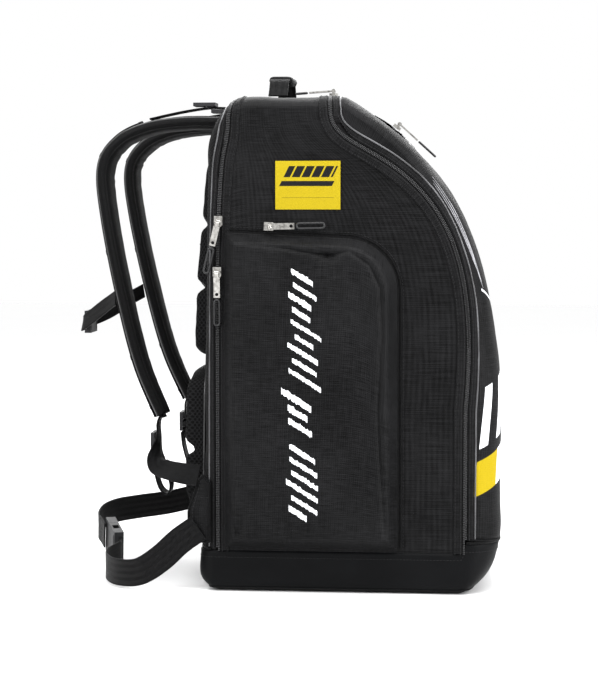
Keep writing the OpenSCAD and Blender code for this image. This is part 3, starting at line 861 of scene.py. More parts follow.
def pocket_height(q):
    """How far the pocket's cloth stands out from the side at points of the side view."""
    d = distance_to(q, pocket_outline(0)) * inside(q, pocket_outline(-0.01))
    wall = POCKET_OUT * np.interp(d, [0, 2, 8, 11, 14, 17, 400], [0.02, 0.2, 0.76, 0.93, 0.99, 1, 1])
    crown = 1.6 * smoothstep((d - 12) / 50)
    q3 = np.column_stack([q[:, 0], np.zeros(len(q)), q[:, 1]])
    wave = waviness(q3, 60, 21) * 1.8 + waviness(q3 * [1, 1, 0.25], 16, 12) * 0.8
    dip = 5.5 * np.exp(-(((q[:, 0] + 17) / 13) ** 2 + ((q[:, 1] - 368) / 8) ** 2))
    fold = 3.0 * np.exp(-(distance_to(q, POCKET_FOLD) / 2.6) ** 2)
    fold += 1.6 * np.exp(-(distance_to(q, POCKET_PLEAT) / 5) ** 2)
    tuck = 7.0 * np.exp(-(((q[:, 0] + 116) / 6) ** 2 + ((q[:, 1] - 67) / 7) ** 2))
    return wall + smoothstep((d - 5) / 12) * (crown + wave - dip - fold - tuck)


def pocket_grid(columns=64, rows=104):
    """A Coons patch over the pocket's outline, so that its rim follows the foot."""
    o = pocket_outline(0)
    foot_end, front_end, head_end = 24, 58, 86
    foot, head = even(o[:foot_end + 1], columns), even(o[front_end:head_end + 1][::-1], columns)
    back, front = even(o[head_end:][::-1], rows), even(o[foot_end:front_end + 1], rows)
    u, v = np.linspace(0, 1, columns)[None, :, None], np.linspace(0, 1, rows)[:, None, None]
    return ((1 - v) * foot[None] + v * head[None] + (1 - u) * back[:, None] + u * front[:, None]
            - (1 - u) * (1 - v) * foot[0] - u * (1 - v) * foot[-1] - (1 - u) * v * head[0]
            - u * v * head[-1])


def crowd_to_edges(flat):
    """Draws a grid's inner rows towards its rim, where the pocket's wall is steep."""
    n, m = flat.shape[:2]

    def spread(count):
        t = np.linspace(0, 1, count)
        return np.clip(t - 0.55 * np.sin(2 * np.pi * t) / (2 * np.pi), 0, 1) * (count - 1)

    i, j = np.meshgrid(spread(n), spread(m), indexing="ij")
    i0, j0 = np.clip(i.astype(int), 0, n - 2), np.clip(j.astype(int), 0, m - 2)
    a, b = (i - i0)[..., None], (j - j0)[..., None]
    return ((1 - a) * (1 - b) * flat[i0, j0] + a * (1 - b) * flat[i0 + 1, j0]
            + (1 - a) * b * flat[i0, j0 + 1] + a * b * flat[i0 + 1, j0 + 1])


pocket_flat = crowd_to_edges(pocket_grid(96, 150))
pocket_up = pocket_height(pocket_flat.reshape(-1, 2)).reshape(pocket_flat.shape[:2])


def blend_pocket(piece):
    """Leaves a pocket piece with no parent, and bakes its transform into its mesh."""
    piece.parent = None
    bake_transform(piece)


for side, name in SIDES:
    grid = np.stack([pocket_flat[..., 0], side * (HALF_W + 0.4 + pocket_up), pocket_flat[..., 1]], -1)
    pocket = grid_piece(f"pocket_cloth_{name}", grid, POCKET_CLOTH if side < 0 else CLOTH, None,
                        flip=side > 0)
    blend_pocket(pocket)
    thicken(pocket, 1.6)
    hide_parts(f"pocket_body_{name}", f"pocket_flap_{name}")


# ---- zips, welts, piping and stitching, laid onto the cloth ----

def surface_of(piece):
    mesh = piece.data
    return BVHTree.FromPolygons([v.co.copy() for v in mesh.vertices],
                                [tuple(p.vertices) for p in mesh.polygons])


MIDDLE = Vector((0.01, 0, 0.26))
SIDE_TREE, FRONT_TREE, REAR_TREE = (surface_of(p) for p in (side_skin, front_skin, rear_skin))


def draped(points, tree, lift):
    """Each point moved onto a surface and lifted off it; lift may be one number or one per point."""
    shape = points.shape
    flat = points.reshape(-1, 3)
    lift = np.broadcast_to(lift, shape[:-1]).reshape(-1)
    out = []
    for q, up in zip(flat, lift):
        at, normal, _, _ = tree.find_nearest(Vector(q) * MM)
        if normal.dot(at - MIDDLE) < 0:
            normal = -normal
        out.append(np.array(at) / MM + np.array(normal) * up)
    return np.array(out).reshape(shape)


def zip_course(column, spacing=4.0):
    """Centre line of a zip beside the side cloth, with the outward and the door-ward directions."""
    edge = side_points[:, column]
    inner = side_points[:, column + (2 if column == 0 else -2)]
    edge_even = even(edge, int(distances(edge)[-1] / spacing))
    share = distances(edge) / distances(edge)[-1]
    s = np.linspace(0, 1, len(edge_even))
    inner = sampled(inner, share, s)
    t = unit(np.gradient(edge_even, axis=0))
    door = edge_even - inner
    door = unit(door - (door * t).sum(1, keepdims=True) * t)
    out = np.cross(t, door)
    out *= np.sign((out * (edge_even - np.array(MIDDLE) / MM)).sum(1, keepdims=True))
    return edge_even + door * ZIP_GAP, out, door


def laid_band(name, course, offsets, lifts, tree, material, body):
    """A band beside a zip's course: offsets are towards the door, lifts off the cloth.

    Within 1.5 mm of the zip's middle the band spans the gap between the two cloths."""
    centre, out, door = course
    points = np.stack([centre + door * o + out * h if abs(o) < 1.5 else draped(centre + door * o, tree, h)
                       for o, h in zip(offsets, lifts)], 1)
    piece = grid_piece(name, points, material, body)
    shell_out(piece)
    return piece


def repeated(name, places, ways, ups, size, material, body):
    """Many small rounded bars in one mesh: size is (length along ways, width, height)."""
    places, ways, ups = (np.asarray(a, float) for a in (places, ways, ups))
    sides = unit(np.cross(ups, ways))
    ring = [(-0.5, 0.15), (-0.28, 0.5), (0.28, 0.5), (0.5, 0.15), (0.3, -0.5), (-0.3, -0.5)]
    verts = []
    for a, shrink in ((-0.5, 0.6), (-0.38, 1.0), (0.38, 1.0), (0.5, 0.6)):
        for b, c in ring:
            verts.append(places + ways * (a * size[0]) + sides * (b * size[1] * shrink)
                         + ups * (c * size[2] * shrink))
    verts = np.stack(verts, 1)
    n = len(ring)
    one = [(r * n + k, r * n + (k + 1) % n, (r + 1) * n + (k + 1) % n, (r + 1) * n + k)
           for r in range(3) for k in range(n)]
    one += [tuple(range(n - 1, -1, -1)), tuple(range(3 * n, 4 * n))]
    faces = [tuple(i * 4 * n + k for k in f) for i in range(len(places)) for f in one]
    return mesh_piece(name, verts.reshape(-1, 3), faces, material, body)


def stitches(name, path, tree, body, gap=3.6, lift=0.3, length=2.5, thick=0.5):
    """A row of thread stitches along a path on a surface."""
    path = even(path, max(int(distances(path)[-1] / gap), 3))
    on = draped(path, tree, lift)
    up = unit(draped(path, tree, lift + 1) - on)
    way = unit(np.gradient(on, axis=0))
    return repeated(name, on, way, up, (length, thick, thick), THREAD, body)


def coil_row(name, course, offset, tree, body, pitch=1.9):
    """Half of a zip's coil: one tooth at every pitch, standing on its tape."""
    centre, out, door = course
    count = int(distances(centre)[-1] / pitch)
    at, n, d = even(centre, count), unit(respaced(out, count)), unit(respaced(door, count))
    return repeated(name, at + d * offset + n * 0.9, d, n, (2.3, 1.15, 1.5), COIL, body)


def clear_of_foot(course, floor_z):
    """Leaves out what lies below the seam over the base."""
    keep = course[0][:, 2] > floor_z
    return tuple(a[keep] for a in course)


REAR_COURSE = zip_course(0)
FRONT_COURSE = zip_course(-1)
# Name, course, door's cloth, door's body, foot, the door welt's offsets, and its piping's
ZIPS = (("rear", REAR_COURSE, REAR_TREE, "rear_door", 46, (3.0, 4.2, 7.2, 8.2), 9.6),
        ("front", FRONT_COURSE, FRONT_TREE, "front_door", 57.5, (3.0, 4.2, 8.6, 9.6), 11.2))
for name, course, door_tree, door_body, foot, reach, piping_at in ZIPS:
    on_door = clear_of_foot(course, foot)
    laid_band(f"{name}_zip_tape_body", course, (0.1, -1, -3.4, -4.2), (0.15, 0.3, 0.3, 0.2), SIDE_TREE,
              TAPE, "bag")
    laid_band(f"{name}_zip_tape_door", on_door, (0.1, 1, 3.4, 4.2), (0.15, 0.3, 0.3, 0.2), door_tree,
              TAPE, door_body)
    coil_row(f"{name}_zip_coil_body", course, -0.95, SIDE_TREE, "bag")
    coil_row(f"{name}_zip_coil_door", on_door, 0.95, door_tree, door_body)
    laid_band(f"{name}_zip_welt_body", course, (-3.0, -3.3, -5, -8, -11, -12.2, -12.6),
              (0.3, 1.2, 1.5, 1.45, 1.3, 1.0, 0.1), SIDE_TREE, CLOTH, "bag")
    laid_band(f"{name}_zip_welt_door", on_door, (reach[0], reach[0] + 0.3, *reach[1:], reach[3] + 0.4),
              (0.3, 1.2, 1.5, 1.4, 1.0, 0.1), door_tree, CLOTH, door_body)
    for k, offset in enumerate((-4.6, -10.6)):
        stitches(f"{name}_zip_stitch_body_{k + 1}", course[0] + course[2] * offset, SIDE_TREE, "bag",
                 lift=1.6)
    stitches(f"{name}_zip_stitch_door", on_door[0] + on_door[2] * 4.9, door_tree, door_body, lift=1.6)
    rail = draped(on_door[0] + on_door[2] * piping_at, door_tree, 0.9)
    tube(f"{name}_piping", rail, 0.95, SILVER, door_body)
for name in ("rear", "front"):
    for part in ("body", "door"):
        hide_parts(f"{name}_zip_{part}_tape")

# Piping round the base's bottom edge, and the seam over its walls
BASE_TREE = surface_of(base_skin)
bottom_edge = base_points[13]
tube("base_edge_piping", draped(bottom_edge, BASE_TREE, 0.3), 0.9, BINDING, "bag")
stitches("base_seam_stitch", base_points[2], BASE_TREE, "bag")

# Bindings along the base's front rim and along each door's lower edge; the two at the front also paint the
# shadow line in the seam between the base and the front door, in their dark binding
front_rim = base_points[0][base_points[0][:, 0] > 128.5][::-1]
for name, rim, rise, radius, body in (
        ("base_front_binding", even(front_rim, 120), 0.9, 1.5, "bag"),
        ("front_door_hem", front_points[0][6:-6], 0.6, 1.3, "front_door"),
        ("rear_door_hem", rear_points[-1][6:-6], 0.6, 1.3, "rear_door")):
    tube(name, rim + [0, 0, rise], radius, BINDING, body)


def front_edge_line(insets, low, high, count=70):
    """A line along the door's rounded edge, between two heights, at an inset that may vary."""
    p0, p38 = front_run(0), front_run(EDGE_R)
    rows = []
    steps, knots = np.linspace(0, 1, count), np.linspace(0, 1, len(insets))
    for z, e in zip(np.linspace(high, low, count), np.interp(steps, knots, insets)):
        xz = (p0 + (p38 - p0) * e / EDGE_R)[4:100]
        x = np.interp(z, xz[:, 1], xz[:, 0])
        rows.append((x, -(HALF_W - EDGE_R + EDGE_R * math.sqrt(1 - (1 - e / EDGE_R) ** 2)), z))
    return np.array(rows)


def stripe(name, path, wide, tree, material, body, lift=0.5):
    """A flat printed or welded line on a surface."""
    on = draped(path, tree, lift)
    up = unit(draped(path, tree, lift + 1) - on)
    way = unit(np.gradient(on, axis=0))
    side = np.cross(up, way)
    ease = np.clip(np.minimum(np.arange(len(on)), np.arange(len(on))[::-1]) / 5, 0.15, 1)[:, None]
    grid = np.stack([draped(on + side * (k * wide * ease), tree, h)
                     for k, h in ((-0.5, 0.1), (-0.42, lift), (0.42, lift), (0.5, 0.1))], 1)
    piece = grid_piece(name, grid, material, body)
    shell_out(piece)
    return piece


for k, (insets, low, high, wide) in enumerate((((12, 10, 9, 9), 332, 452, 1.1),
                                               ((17, 14, 11, 9.5), 338, 448, 1.3),
                                               ((22, 18, 14, 11), 352, 444, 0.8))):
    stripe(f"front_stripe_{k + 1}", front_edge_line(insets, low, high), wide, FRONT_TREE, REFLECTIVE,
           "front_door")

def pocket_course(side, out):
    """A line on the bag's side, out mm outside the pocket's front and top."""
    run = pocket_outline(-out)[24:-40]
    return np.column_stack([run[:, 0], np.full(len(run), side * HALF_W), run[:, 1]])


# The side pockets' outer seam: two corded welts and a line of stitches
for side, name in SIDES:
    for k, (out, radius) in enumerate(((1.5, 1.0), (5.0, 0.8))):
        tube(f"pocket_welt_{name}_{k + 1}", draped(even(pocket_course(side, out), 150), SIDE_TREE, 0.5),
             radius, BINDING, "bag")
    stitches(f"pocket_stitch_{name}", pocket_course(side, 7.5), SIDE_TREE, "bag")


# ---- goggle pocket across the upper front ----

def across_front(share, half, count=60):
    """A level line over the front door, at a share of its curve from the front to the top."""
    curve = bezier([FRONT, 130], [FRONT + 4, 340], [140, BAG_H - 78], [0, BAG_H], 400)
    x, z = curve[round(400 * share)]
    return np.array([(x, y, z) for y in np.linspace(-half, half, count)])


goggle_line = across_front(0.865, 113)
slope_out = unit(np.array([0.619, 0, 0.785]))
slope_down = np.array([0.785, 0, -0.619])
goggle_course = (goggle_line, np.broadcast_to(slope_out, goggle_line.shape),
                 np.broadcast_to(slope_down, goggle_line.shape))
goggle_tape = laid_band("goggle_zip_tape", goggle_course, (-8, -1, 1, 8), (0.5, 0.7, 0.7, 0.5), FRONT_TREE,
                        TAPE, "front_door")
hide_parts("goggle_zip")
centre = draped(goggle_line, FRONT_TREE, 0.4)
for k, offset in enumerate((-0.95, 0.95)):
    coil_row(f"goggle_zip_coil_{k + 1}", (centre, *goggle_course[1:]), offset, FRONT_TREE, "front_door")
laid_band("goggle_hood", goggle_course, (-3.4, -3.2, -5, -10, -18, -26, -27),
          (0.8, 2.2, 2.7, 2.6, 2.0, 1.0, 0.1), FRONT_TREE, CLOTH, "front_door")
laid_band("goggle_lip", goggle_course, (3.4, 3.2, 5, 9, 13, 14), (0.8, 2.0, 2.4, 2.2, 1.2, 0.1),
          FRONT_TREE, CLOTH, "front_door")
tube("goggle_lip_binding", draped(goggle_line + slope_down * 14.5, FRONT_TREE, 1.0), 1.3, DARK_PIPING,
     "front_door")
# Two rows of stitches below the zip, one of them on its lip
for k, (offset, lift) in enumerate(((6, 2.6), (24, 1.4))):
    stitches(f"goggle_hood_stitch_{k + 1}", goggle_line + slope_down * offset, FRONT_TREE,
             "front_door", lift=lift)


# ---- padded back and lumbar cushions on the rear door ----

def rear_face_x(z):
    return -REAR + 6 * (z - 22) / (BAG_H - 90)


def crowded(count):
    """Steps from -1 to 1 that draw closer together towards both ends."""
    v = np.linspace(-1, 1, count)
    return np.sign(v) * (1 - (1 - np.abs(v)) ** 1.25)


def cushion(name, half, low, high, out_line, channels, corner, seed):
    """A cushion on the rear face: full between its stitched channels, rounded down to its seam."""
    mid, tall = (low + high) / 2, (high - low) / 2
    y, z = np.meshgrid(half * crowded(86), mid + tall * crowded(84))
    qy, qz = np.abs(y) - (half - corner), np.abs(z - mid) - (tall - corner)
    both = (qy > 0) & (qz > 0)
    reach = np.hypot(np.maximum(qy, 0), np.maximum(qz, 0))
    pull = np.where(both, np.maximum(qy, qz) / np.maximum(reach, 1e-6), 1.0)
    y = np.where(both, np.sign(y) * (half - corner + qy * pull), y)
    z = np.where(both, mid + np.sign(z - mid) * (tall - corner + qz * pull), z)
    edge = np.where(both, corner - reach * pull, np.minimum(half - np.abs(y), tall - np.abs(z - mid)))
    rim = np.clip(edge / 7, 0, 1)
    rim = np.sqrt(np.clip(1 - (1 - rim) ** 2, 0, 1))
    far_x = np.interp(z, *np.array(out_line).T[::-1])
    groove = np.ones_like(y)
    for a, b in channels:
        d = distance_to(np.column_stack([y.ravel(), z.ravel()]), np.array([a, b], float)).reshape(y.shape)
        groove *= 1 - 0.62 * np.exp(-(d / 5.5) ** 2)
    depth = (rear_face_x(z) - far_x) * groove
    flat = np.stack([np.zeros_like(y), y, z], -1)
    depth = depth * (1 + 0.05 * waviness(flat, 32, seed)) + 0.5 * waviness(flat, 12, seed + 1)
    x = rear_face_x(z) - 0.4 - np.maximum(depth, 0.6) * rim
    points = np.stack([x, y, z], -1)
    pad = grid_piece(name, points, MESH, "rear_door")
    shell_out(pad)
    for k, (a, b) in enumerate(channels):
        course = even(np.array([[-400, *a], [-400, *b]], float), 60)
        stitches(f"{name}_stitch_{k + 1}", course, surface_of(pad), "rear_door", lift=0.2)
    tube(f"{name}_piping", even(border(points) + [-1.5, 0, 0], 200), 1.4, DARK_PIPING, "rear_door")
    return pad


back_cushion = cushion("back_cushion", 105, 250, 474, [(-168, 250), (-173, 262), (-170, 345), (-163, 420),
                       (-158, 474)], [((-36, 262), (-36, 462)), ((36, 262), (36, 462)),
                       ((-100, 330), (-42, 318)), ((42, 318), (100, 330)), ((-100, 400), (-42, 388)),
                       ((42, 388), (100, 400))], 26, 31)
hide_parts("back_pad")
lumbar_cushion = cushion("lumbar_cushion", 135, 63, 240, [(-168, 63), (-179, 104), (-180, 150), (-178, 215),
                         (-171, 240)], [((-52, 74), (-40, 230)), ((52, 74), (40, 230)),
                         ((-128, 150), (-52, 140)), ((52, 140), (128, 150))], 30, 41)
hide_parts("lumbar_pad")


# ---- shoulder straps ----

SHOULDER = [[-147, -72, 513], [-185, -74, 513], [-226, -78, 507], [-258, -83, 491], [-275, -87, 462],
            [-270, -91, 405], [-252, -97, 317], [-232, -102, 242], [-208, -106, 186]]


def mirrored(points, side):
    """The left side's points, or their mirror image on the right."""
    return np.array(points, float) * [1, -side, 1]


def pad_section(half_w, half_t, bulge):
    """Crowned section: a welted edge, a stitched channel beside it, and a full middle."""
    x = np.concatenate([[-1, -0.985, -0.95, -0.9, -0.85, -0.8, -0.74, -0.66], np.linspace(-0.5, 0.5, 7),
                        [0.66, 0.74, 0.8, 0.85, 0.9, 0.95, 0.985, 1]])
    d = (1 - np.abs(x)) * half_w
    y = half_t * np.interp(d, [0, 0.6, 1.8, 3.4, 5.2, 7, 10, 14, half_w], [0.34, 0.5, 0.58, 0.56, 0.46,
                                                                      0.6, 0.82, 0.93, 1.0]) * bulge
    return np.concatenate([np.column_stack([x * half_w, -y]), np.column_stack([x * half_w, y])[::-1]])


def shoulder_strap(side, name):
    path = mirrored(through(SHOULDER, 14), side)
    n = len(path)
    share = np.arange(n) / (n - 1)
    wide = 31 * (1 - 0.45 * share**3) - 0.6
    s = distances(path)
    wave = np.array([noise.noise(Vector((v / 24, side * 3.0, 0.0))) for v in s])
    sections = np.array([pad_section(w, 8.0, 1 + 0.05 * k) for w, k in zip(wide, wave)])
    t, w, u = frames_along(path, [0, 1, 0])
    bend = np.gradient(unit(t), axis=0)
    tight = np.linalg.norm(bend, axis=1)
    tight = np.convolve(tight / tight.max(), np.ones(9) / 9, "same")
    m = sections.shape[1]
    inner = np.arange(m) >= m // 2
    crumple = np.sin(s / 3.1 + 1.4 * wave * 6)[:, None] * np.exp(-((np.arange(m) - 0.75 * m) / 7) ** 2)
    sections[..., 1] += 0.75 * tight[:, None] * crumple * inner
    pad = swept(f"shoulder_pad_cover_{name}", path, sections, [0, 1, 0], (CLOTH, RIBBED), "rear_door")
    for face in pad.data.polygons:
        at = np.array(face.center) / MM
        i = np.argmin(np.linalg.norm(path - at, axis=1))
        if (at - path[i]) @ u[i] > -1.5:
            face.material_index = 1
    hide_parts(f"shoulder_pad_{name}")
    for k, edge in enumerate((-1, 1)):
        rim = path + w * (edge * (wide - 0.8))[:, None]
        swept(f"shoulder_binding_{name}_{k + 1}", rim, round_section(1, 12) * [2.1, 4.6], [0, 1, 0],
              BINDING, "rear_door")
        cord = path + w * (edge * (wide - 2.2))[:, None] - u * 4.9
        tube(f"shoulder_piping_{name}_{k + 1}", cord, 1.1, DARK_PIPING, "rear_door", across=(0, 1, 0))
        for j, face_side in enumerate((-1, 1)):
            row = path[4:-3] + (w * (edge * (wide - 5.6))[:, None] + u * face_side * 4.2)[4:-3]
            on = even(row, int(distances(row)[-1] / 4))
            repeated(f"shoulder_stitch_{name}_{k + 1}_{j + 1}", on, unit(np.gradient(on, axis=0)),
                     unit(respaced(u, len(on))) * face_side,
                     (2.6, 0.6, 0.8), THREAD, "rear_door")
    top = (path - u * 8.9)[30:]
    swept(f"shoulder_webbing_{name}", top, strap_section(22, 1.8), [0, 1, 0], WEBBING, "rear_door")
    for k, at in enumerate((31, 52, 76, 96, n - 5)):
        places = path[at] - u[at] * 10.1 + np.linspace(-8.5, 8.5, 9)[:, None] * w[at]
        repeated(f"shoulder_tack_{name}_{k + 1}", places, np.tile(t[at], (9, 1)), np.tile(-u[at], (9, 1)),
                 (5.5, 1.1, 0.8), THREAD, "rear_door")
    flap_end = path[-8:] + t[-8:] * 4
    swept(f"shoulder_end_loop_{name}", flap_end - u[-8:] * 1.5, strap_section(25, 3.0), [0, 1, 0], WEBBING,
          "rear_door")


def webbing_strap(name, points, wide, thick, across, body, side=-1, replaced=None):
    """Webbing along a smooth curve through the points; across may turn from point to point."""
    path = mirrored(through(points, 10), side)
    across = np.array(across, float)
    across = mirrored(through(across, 10), side) if across.ndim == 2 else across * [1, -side, 1]
    piece = swept(name, path, strap_section(wide, thick), across, WEBBING, body)
    if replaced:
        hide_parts(replaced)
    return piece


LIFTER = [[-226, -79, 517.5], [-205, -78, 522.3], [-184, -77, 526.5], [-160, -75, 530], [-140, -73, 530],
          [-129, -72, 529.8]]
LOWER = [[-205.5, -106, 191], [-211.5, -106.6, 183], [-214, -107, 174], [-213, -109, 161],
         [-212, -121, 145], [-208, -143, 132], [-184, -171, 129], [-158, -183, 127]]
LOWER_ACROSS = [[0, 1, 0]] * 4 + [[0.2, 1, 0.2], [0.5, 0.7, 0.6], [0.6, 0.3, 0.8], [0.6, 0.1, 0.8]]
LOWER_TAIL = [[-219, -108, 141], [-217, -109, 123], [-211, -110, 103], [-202, -110, 97], [-199, -110, 107],
              [-203, -110, 123]]
for side, name in SIDES:
    shoulder_strap(side, name)
    webbing_strap(f"load_lifter_web_{name}", LIFTER, 20, 2, [0, 1, 0], "rear_door", side,
                  f"load_lifter_{name}")
    webbing_strap(f"lower_web_{name}", LOWER, 24, 2, LOWER_ACROSS, "rear_door", side,
                  f"lower_webbing_{name}")
    webbing_strap(f"lower_web_tail_{name}", LOWER_TAIL, 24, 2, [0, 1, 0], "rear_door", side)

# Chest strap and hip belt
STERNUM_X, STERNUM_Z = -312, 284
for side, name, stop, off in ((-1, "left", 20.2, 0), (1, "right", 13, 7.14)):
    x, z = STERNUM_X - off, STERNUM_Z
    webbing_strap(f"sternum_web_{name}", [[-264.5, -94, 316], [-279, -76, 307], [-298, -58, 294],
                  [x, -44, z], [x, -32, z], [x, -stop, z]], 18, 2, [0.2, 0, 1], "sternum_strap", side,
                  f"sternum_{name}")

BELT_MIDDLE = np.array([-279.0, -34, 27])
TILT, TURN = math.radians(8), math.radians(20)
BELT_WAY = np.array([-math.sin(TURN) * math.cos(TILT), math.cos(TURN) * math.cos(TILT), math.sin(TILT)])
BELT_OUT = np.array([-math.cos(TURN), -math.sin(TURN), 0])


def on_belt(d, off):
    return BELT_MIDDLE + d * BELT_WAY + off * BELT_OUT


BELT_OFF = 40 * 0.14 + 1 + 1.5
webbing_strap("belt_web_left", [[-158, -187, 70], [-178, -189, 56], [-200, -191, 36], [-224, -187, 21],
              [-250, -170, 17], [-267, -142, 17], [-272, -110, 18], on_belt(-45, 0), on_belt(-30.6, 0)],
              30, 2, [0, 0, 1], "hip_belt", -1, "belt_left")
webbing_strap("belt_web_right", [on_belt(22, BELT_OFF), on_belt(40, BELT_OFF), on_belt(66, BELT_OFF),
              [-309, 58, 41], [-299, 92, 43], [-276, 126, 43], [-244, 156, 44], [-210, 178, 50],
              [-182, 187, 59], [-158, 187, 70]], 30, 2, [0, 0, 1],
              "hip_belt", -1, "belt_right")


def hip_wing(side, name, columns=16):
    """Stitched fabric wing that the hip belt comes out of."""
    rear = np.array([[-24, 54], [-24, 88], [-12, 122], [-7, 128]], float)
    z = np.linspace(54.5, 127.5, 40)
    back = np.interp(z, rear[:, 1], rear[:, 0])
    front = np.where(z > 120, -7 * (z - 120) / 8, 0)
    u = np.linspace(0, 1, columns)[None, :]
    x = back[:, None] * (1 - u) + front[:, None] * u
    zz = np.repeat(z[:, None], columns, 1)
    turn = math.radians(-6)
    edge = np.minimum(np.minimum(x - back[:, None], front[:, None] - x), np.minimum(zz - 54, 128 - zz))
    out = -2.1 - 0.9 * smoothstep(edge / 5)
    grid = np.stack([-145.5 + x * math.cos(turn) - out * math.sin(turn),
                     -(HALF_W + 1.5) + x * math.sin(turn) + out * math.cos(turn), zz], -1)
    grid = mirrored(grid, side)
    wing = grid_piece(f"hip_wing_cloth_{name}", grid, CLOTH, "rear_door")
    shell_out(wing)
    thicken(wing, 2.2)
    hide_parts(f"hip_wing_{name}")
    tree = surface_of(wing)
    tube(f"hip_wing_binding_{name}", even(border(grid), 90), 1.3, BINDING, "rear_door")
    for k, row in enumerate((grid[4:-4, 3], grid[10, 2:-2], grid[26, 2:-2])):
        stitches(f"hip_wing_stitch_{name}_{k + 1}", row, tree, "rear_door", lift=0.2)


for side, name in SIDES:
    hip_wing(side, name)


# ---- haul handle ----

HANDLE_X, HANDLE_RISE = -83.0, 26.0
LOOP = [[60, 6.4], [51, 14], [36, 25.7]]
handle_path = through([[HANDLE_X, -y, BAG_H + z] for y, z in LOOP] + [[HANDLE_X, 0, BAG_H + HANDLE_RISE]]
                      + [[HANDLE_X, y, BAG_H + z] for y, z in LOOP[::-1]], 10)
handle_web = swept("handle_web", handle_path, strap_section(22, 2), [1, 0, 0], WEBBING, "haul_handle")
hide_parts("handle_strap")
lobe = np.linspace(-1, 1, 25)
crown = 4.9 * np.sqrt(1 - lobe**6) - 2.0 * np.exp(-((lobe - 0.02) / 0.16) ** 2) + 0.35 * lobe
grip_shape = np.concatenate([np.column_stack([lobe * 14.2, -4.8 * np.sqrt(1 - lobe**6)]),
                             np.column_stack([lobe * 14.2, crown])[::-1][1:-1]])
along = np.linspace(-31, 31, 48)
grip_path = np.column_stack([np.full(48, HANDLE_X), along, np.full(48, BAG_H + HANDLE_RISE)])
ends = np.sqrt(np.clip(1 - (np.abs(along) / 31.5) ** 10, 0, 1))
ripples = 1 + 0.04 * np.sin(along / 2.6) * (np.abs(along) > 18)
grip = swept("handle_grip_cloth", grip_path, grip_shape[None] * (ends * ripples)[:, None, None],
             [1, 0, 0], CLOTH, "haul_handle")
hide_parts("handle_grip")
for side, name in SIDES:
    y = side * np.linspace(58.5, 79.5, 8)
    path = np.column_stack([np.full(8, HANDLE_X), y, np.full(8, BAG_H + 0.95) + 0.25 * np.sin(y)])
    tab = swept(f"handle_tab_{name}", path, strap_section(28, 1.6), [1, 0, 0], WEBBING, "bag")
    for k, x in enumerate((-10, 10)):
        row = np.array([[HANDLE_X + x, v, BAG_H + 2.0] for v in side * np.arange(61, 78, 3.2)])
        repeated(f"handle_tab_stitch_{name}_{k + 1}", row, np.tile([0, 1.0, 0], (len(row), 1)),
                 np.tile([0, 0, 1.0], (len(row), 1)), (2.4, 0.6, 0.5), THREAD, "bag")
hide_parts("handle_tabs")


# ---- CAD nodes that keep their shape: sewn lining, buckles, sliders and pulls ----

def dress(node, material, bevel=0.0, extra=()):
    """Gives a CAD node its finish, and rounds its edges by bevel mm."""
    piece = NODES[node]
    piece.data.materials.clear()
    for m in (material, *extra):
        piece.data.materials.append(m)
    if bevel:
        soft = piece.modifiers.new("Moulded edges", "BEVEL")
        soft.width, soft.segments = bevel * MM, 2
        soft.limit_method, soft.angle_limit = "ANGLE", math.radians(32)
        soft.harden_normals = False
    return piece


for node in ("boot_cell_left", "boot_cell_right", "goggle_pocket"):
    dress(node, LINING)
dress("base_board", BOARD, 0.6)
dress("name_label", LABEL, 0.25)
for node in ("lifter_buckle_left", "lifter_buckle_right", "ladder_lock_left", "ladder_lock_right"):
    dress(node, PLASTIC, 0.9)
for node in ("sternum_socket", "sternum_plug", "belt_socket", "belt_plug"):
    dress(node, PLASTIC, 0.7)

ZIP_HARDWARE = ("rear_{}_upper", "rear_{}_lower", "front_{}_left", "front_{}_right", "goggle_{}",
                "pocket_{}_left", "pocket_{}_right")
CORD_FROM = 27.9    # distance from a pull's pivot beyond which the pull is cord, not metal
for pattern in ZIP_HARDWARE:
    dress(pattern.format("slider"), NICKEL, 0.35)
    pull = dress(pattern.format("pull"), NICKEL, 0.3, extra=(CORD,))
    joint = JOINTS[pattern.format("pull") + "_swing"]
    pivot = np.array(joint["pos_m"]) / MM
    for face in pull.data.polygons:
        if np.linalg.norm(np.array(face.center) / MM - pivot) > CORD_FROM:
            face.material_index = 1


# ---- camera, light and floor ----

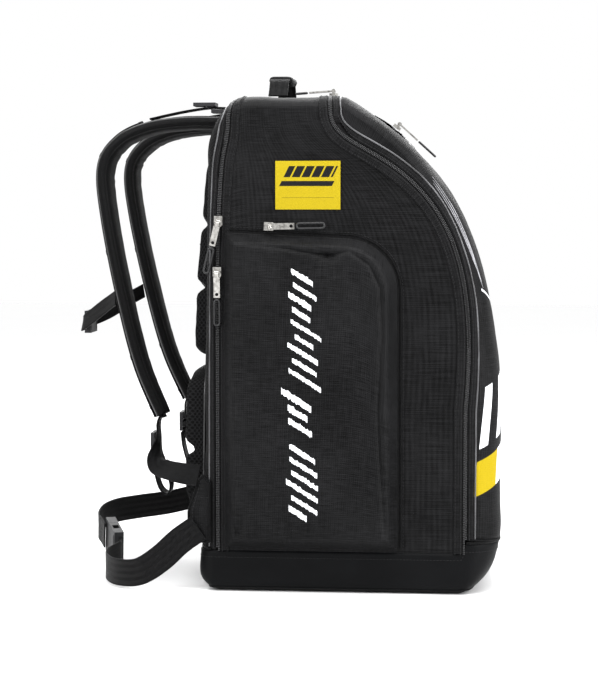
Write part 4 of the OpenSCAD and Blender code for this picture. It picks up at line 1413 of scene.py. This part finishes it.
def look_from(azimuth, elevation, distance, target, lens):
    camera = bpy.data.objects.new("Camera", bpy.data.cameras.new("Camera"))
    bpy.context.scene.collection.objects.link(camera)
    a, e = math.radians(azimuth), math.radians(elevation)
    way = Vector((math.sin(a) * math.cos(e), -math.cos(a) * math.cos(e), math.sin(e)))
    camera.location = Vector(target) + way * distance
    camera.rotation_euler = (-way).to_track_quat("-Z", "Y").to_euler()
    camera.data.lens = lens
    bpy.context.scene.camera = camera


look_from(5.0, 4.0, 2.22, (-0.0643, 0, 0.2628), 100)


def area_light(name, place, aim, size, power):
    data = bpy.data.lights.new(name, "AREA")
    data.shape, data.size, data.size_y, data.energy = "RECTANGLE", size[0], size[1], power
    lamp = bpy.data.objects.new(name, data)
    bpy.context.scene.collection.objects.link(lamp)
    lamp.location = place
    lamp.rotation_euler = (Vector(aim) - Vector(place)).to_track_quat("-Z", "Y").to_euler()


area_light("Overhead", (0.1, -0.5, 2.2), (0, 0, 0.2), (2.4, 2.0), 110)
area_light("Front_left", (-1.7, -1.9, 1.2), (0, 0, 0.3), (0.8, 1.8), 60)
area_light("Front_right", (2.0, -1.2, 1.1), (0, 0, 0.3), (0.6, 1.8), 90)
area_light("Back", (-0.3, 2.0, 1.4), (0, 0, 0.3), (2.4, 1.4), 40)

world = bpy.data.worlds.new("Studio")
world.use_nodes = True
world.node_tree.nodes["Background"].inputs["Color"].default_value = (1, 1, 1, 1)
world.node_tree.nodes["Background"].inputs["Strength"].default_value = 1.0
bpy.context.scene.world = world
bpy.context.scene.view_settings.view_transform = "Standard"


def floor_finish():
    """One even pale colour, polished enough for a faint reflection."""
    m = Maker("floor", 0.12, Specular_IOR_Level=0.5)
    at, _, _, _ = m.object_place()
    haze = m.noise(at, (3, 3, 3), 1.0, 2.0)
    return m.finish(m.mix(haze, grey(0.8, (1, 1, 1.01)), grey(0.83, (1, 1, 1))), haze, 0.00001)


FLOOR_REACH = [-6000.0, 6000.0]
floor_grid = np.stack(np.meshgrid(FLOOR_REACH, FLOOR_REACH, [-0.4], indexing="ij"), -1)[:, :, 0]
floor = grid_piece("floor", floor_grid, floor_finish(), None, flip=True)
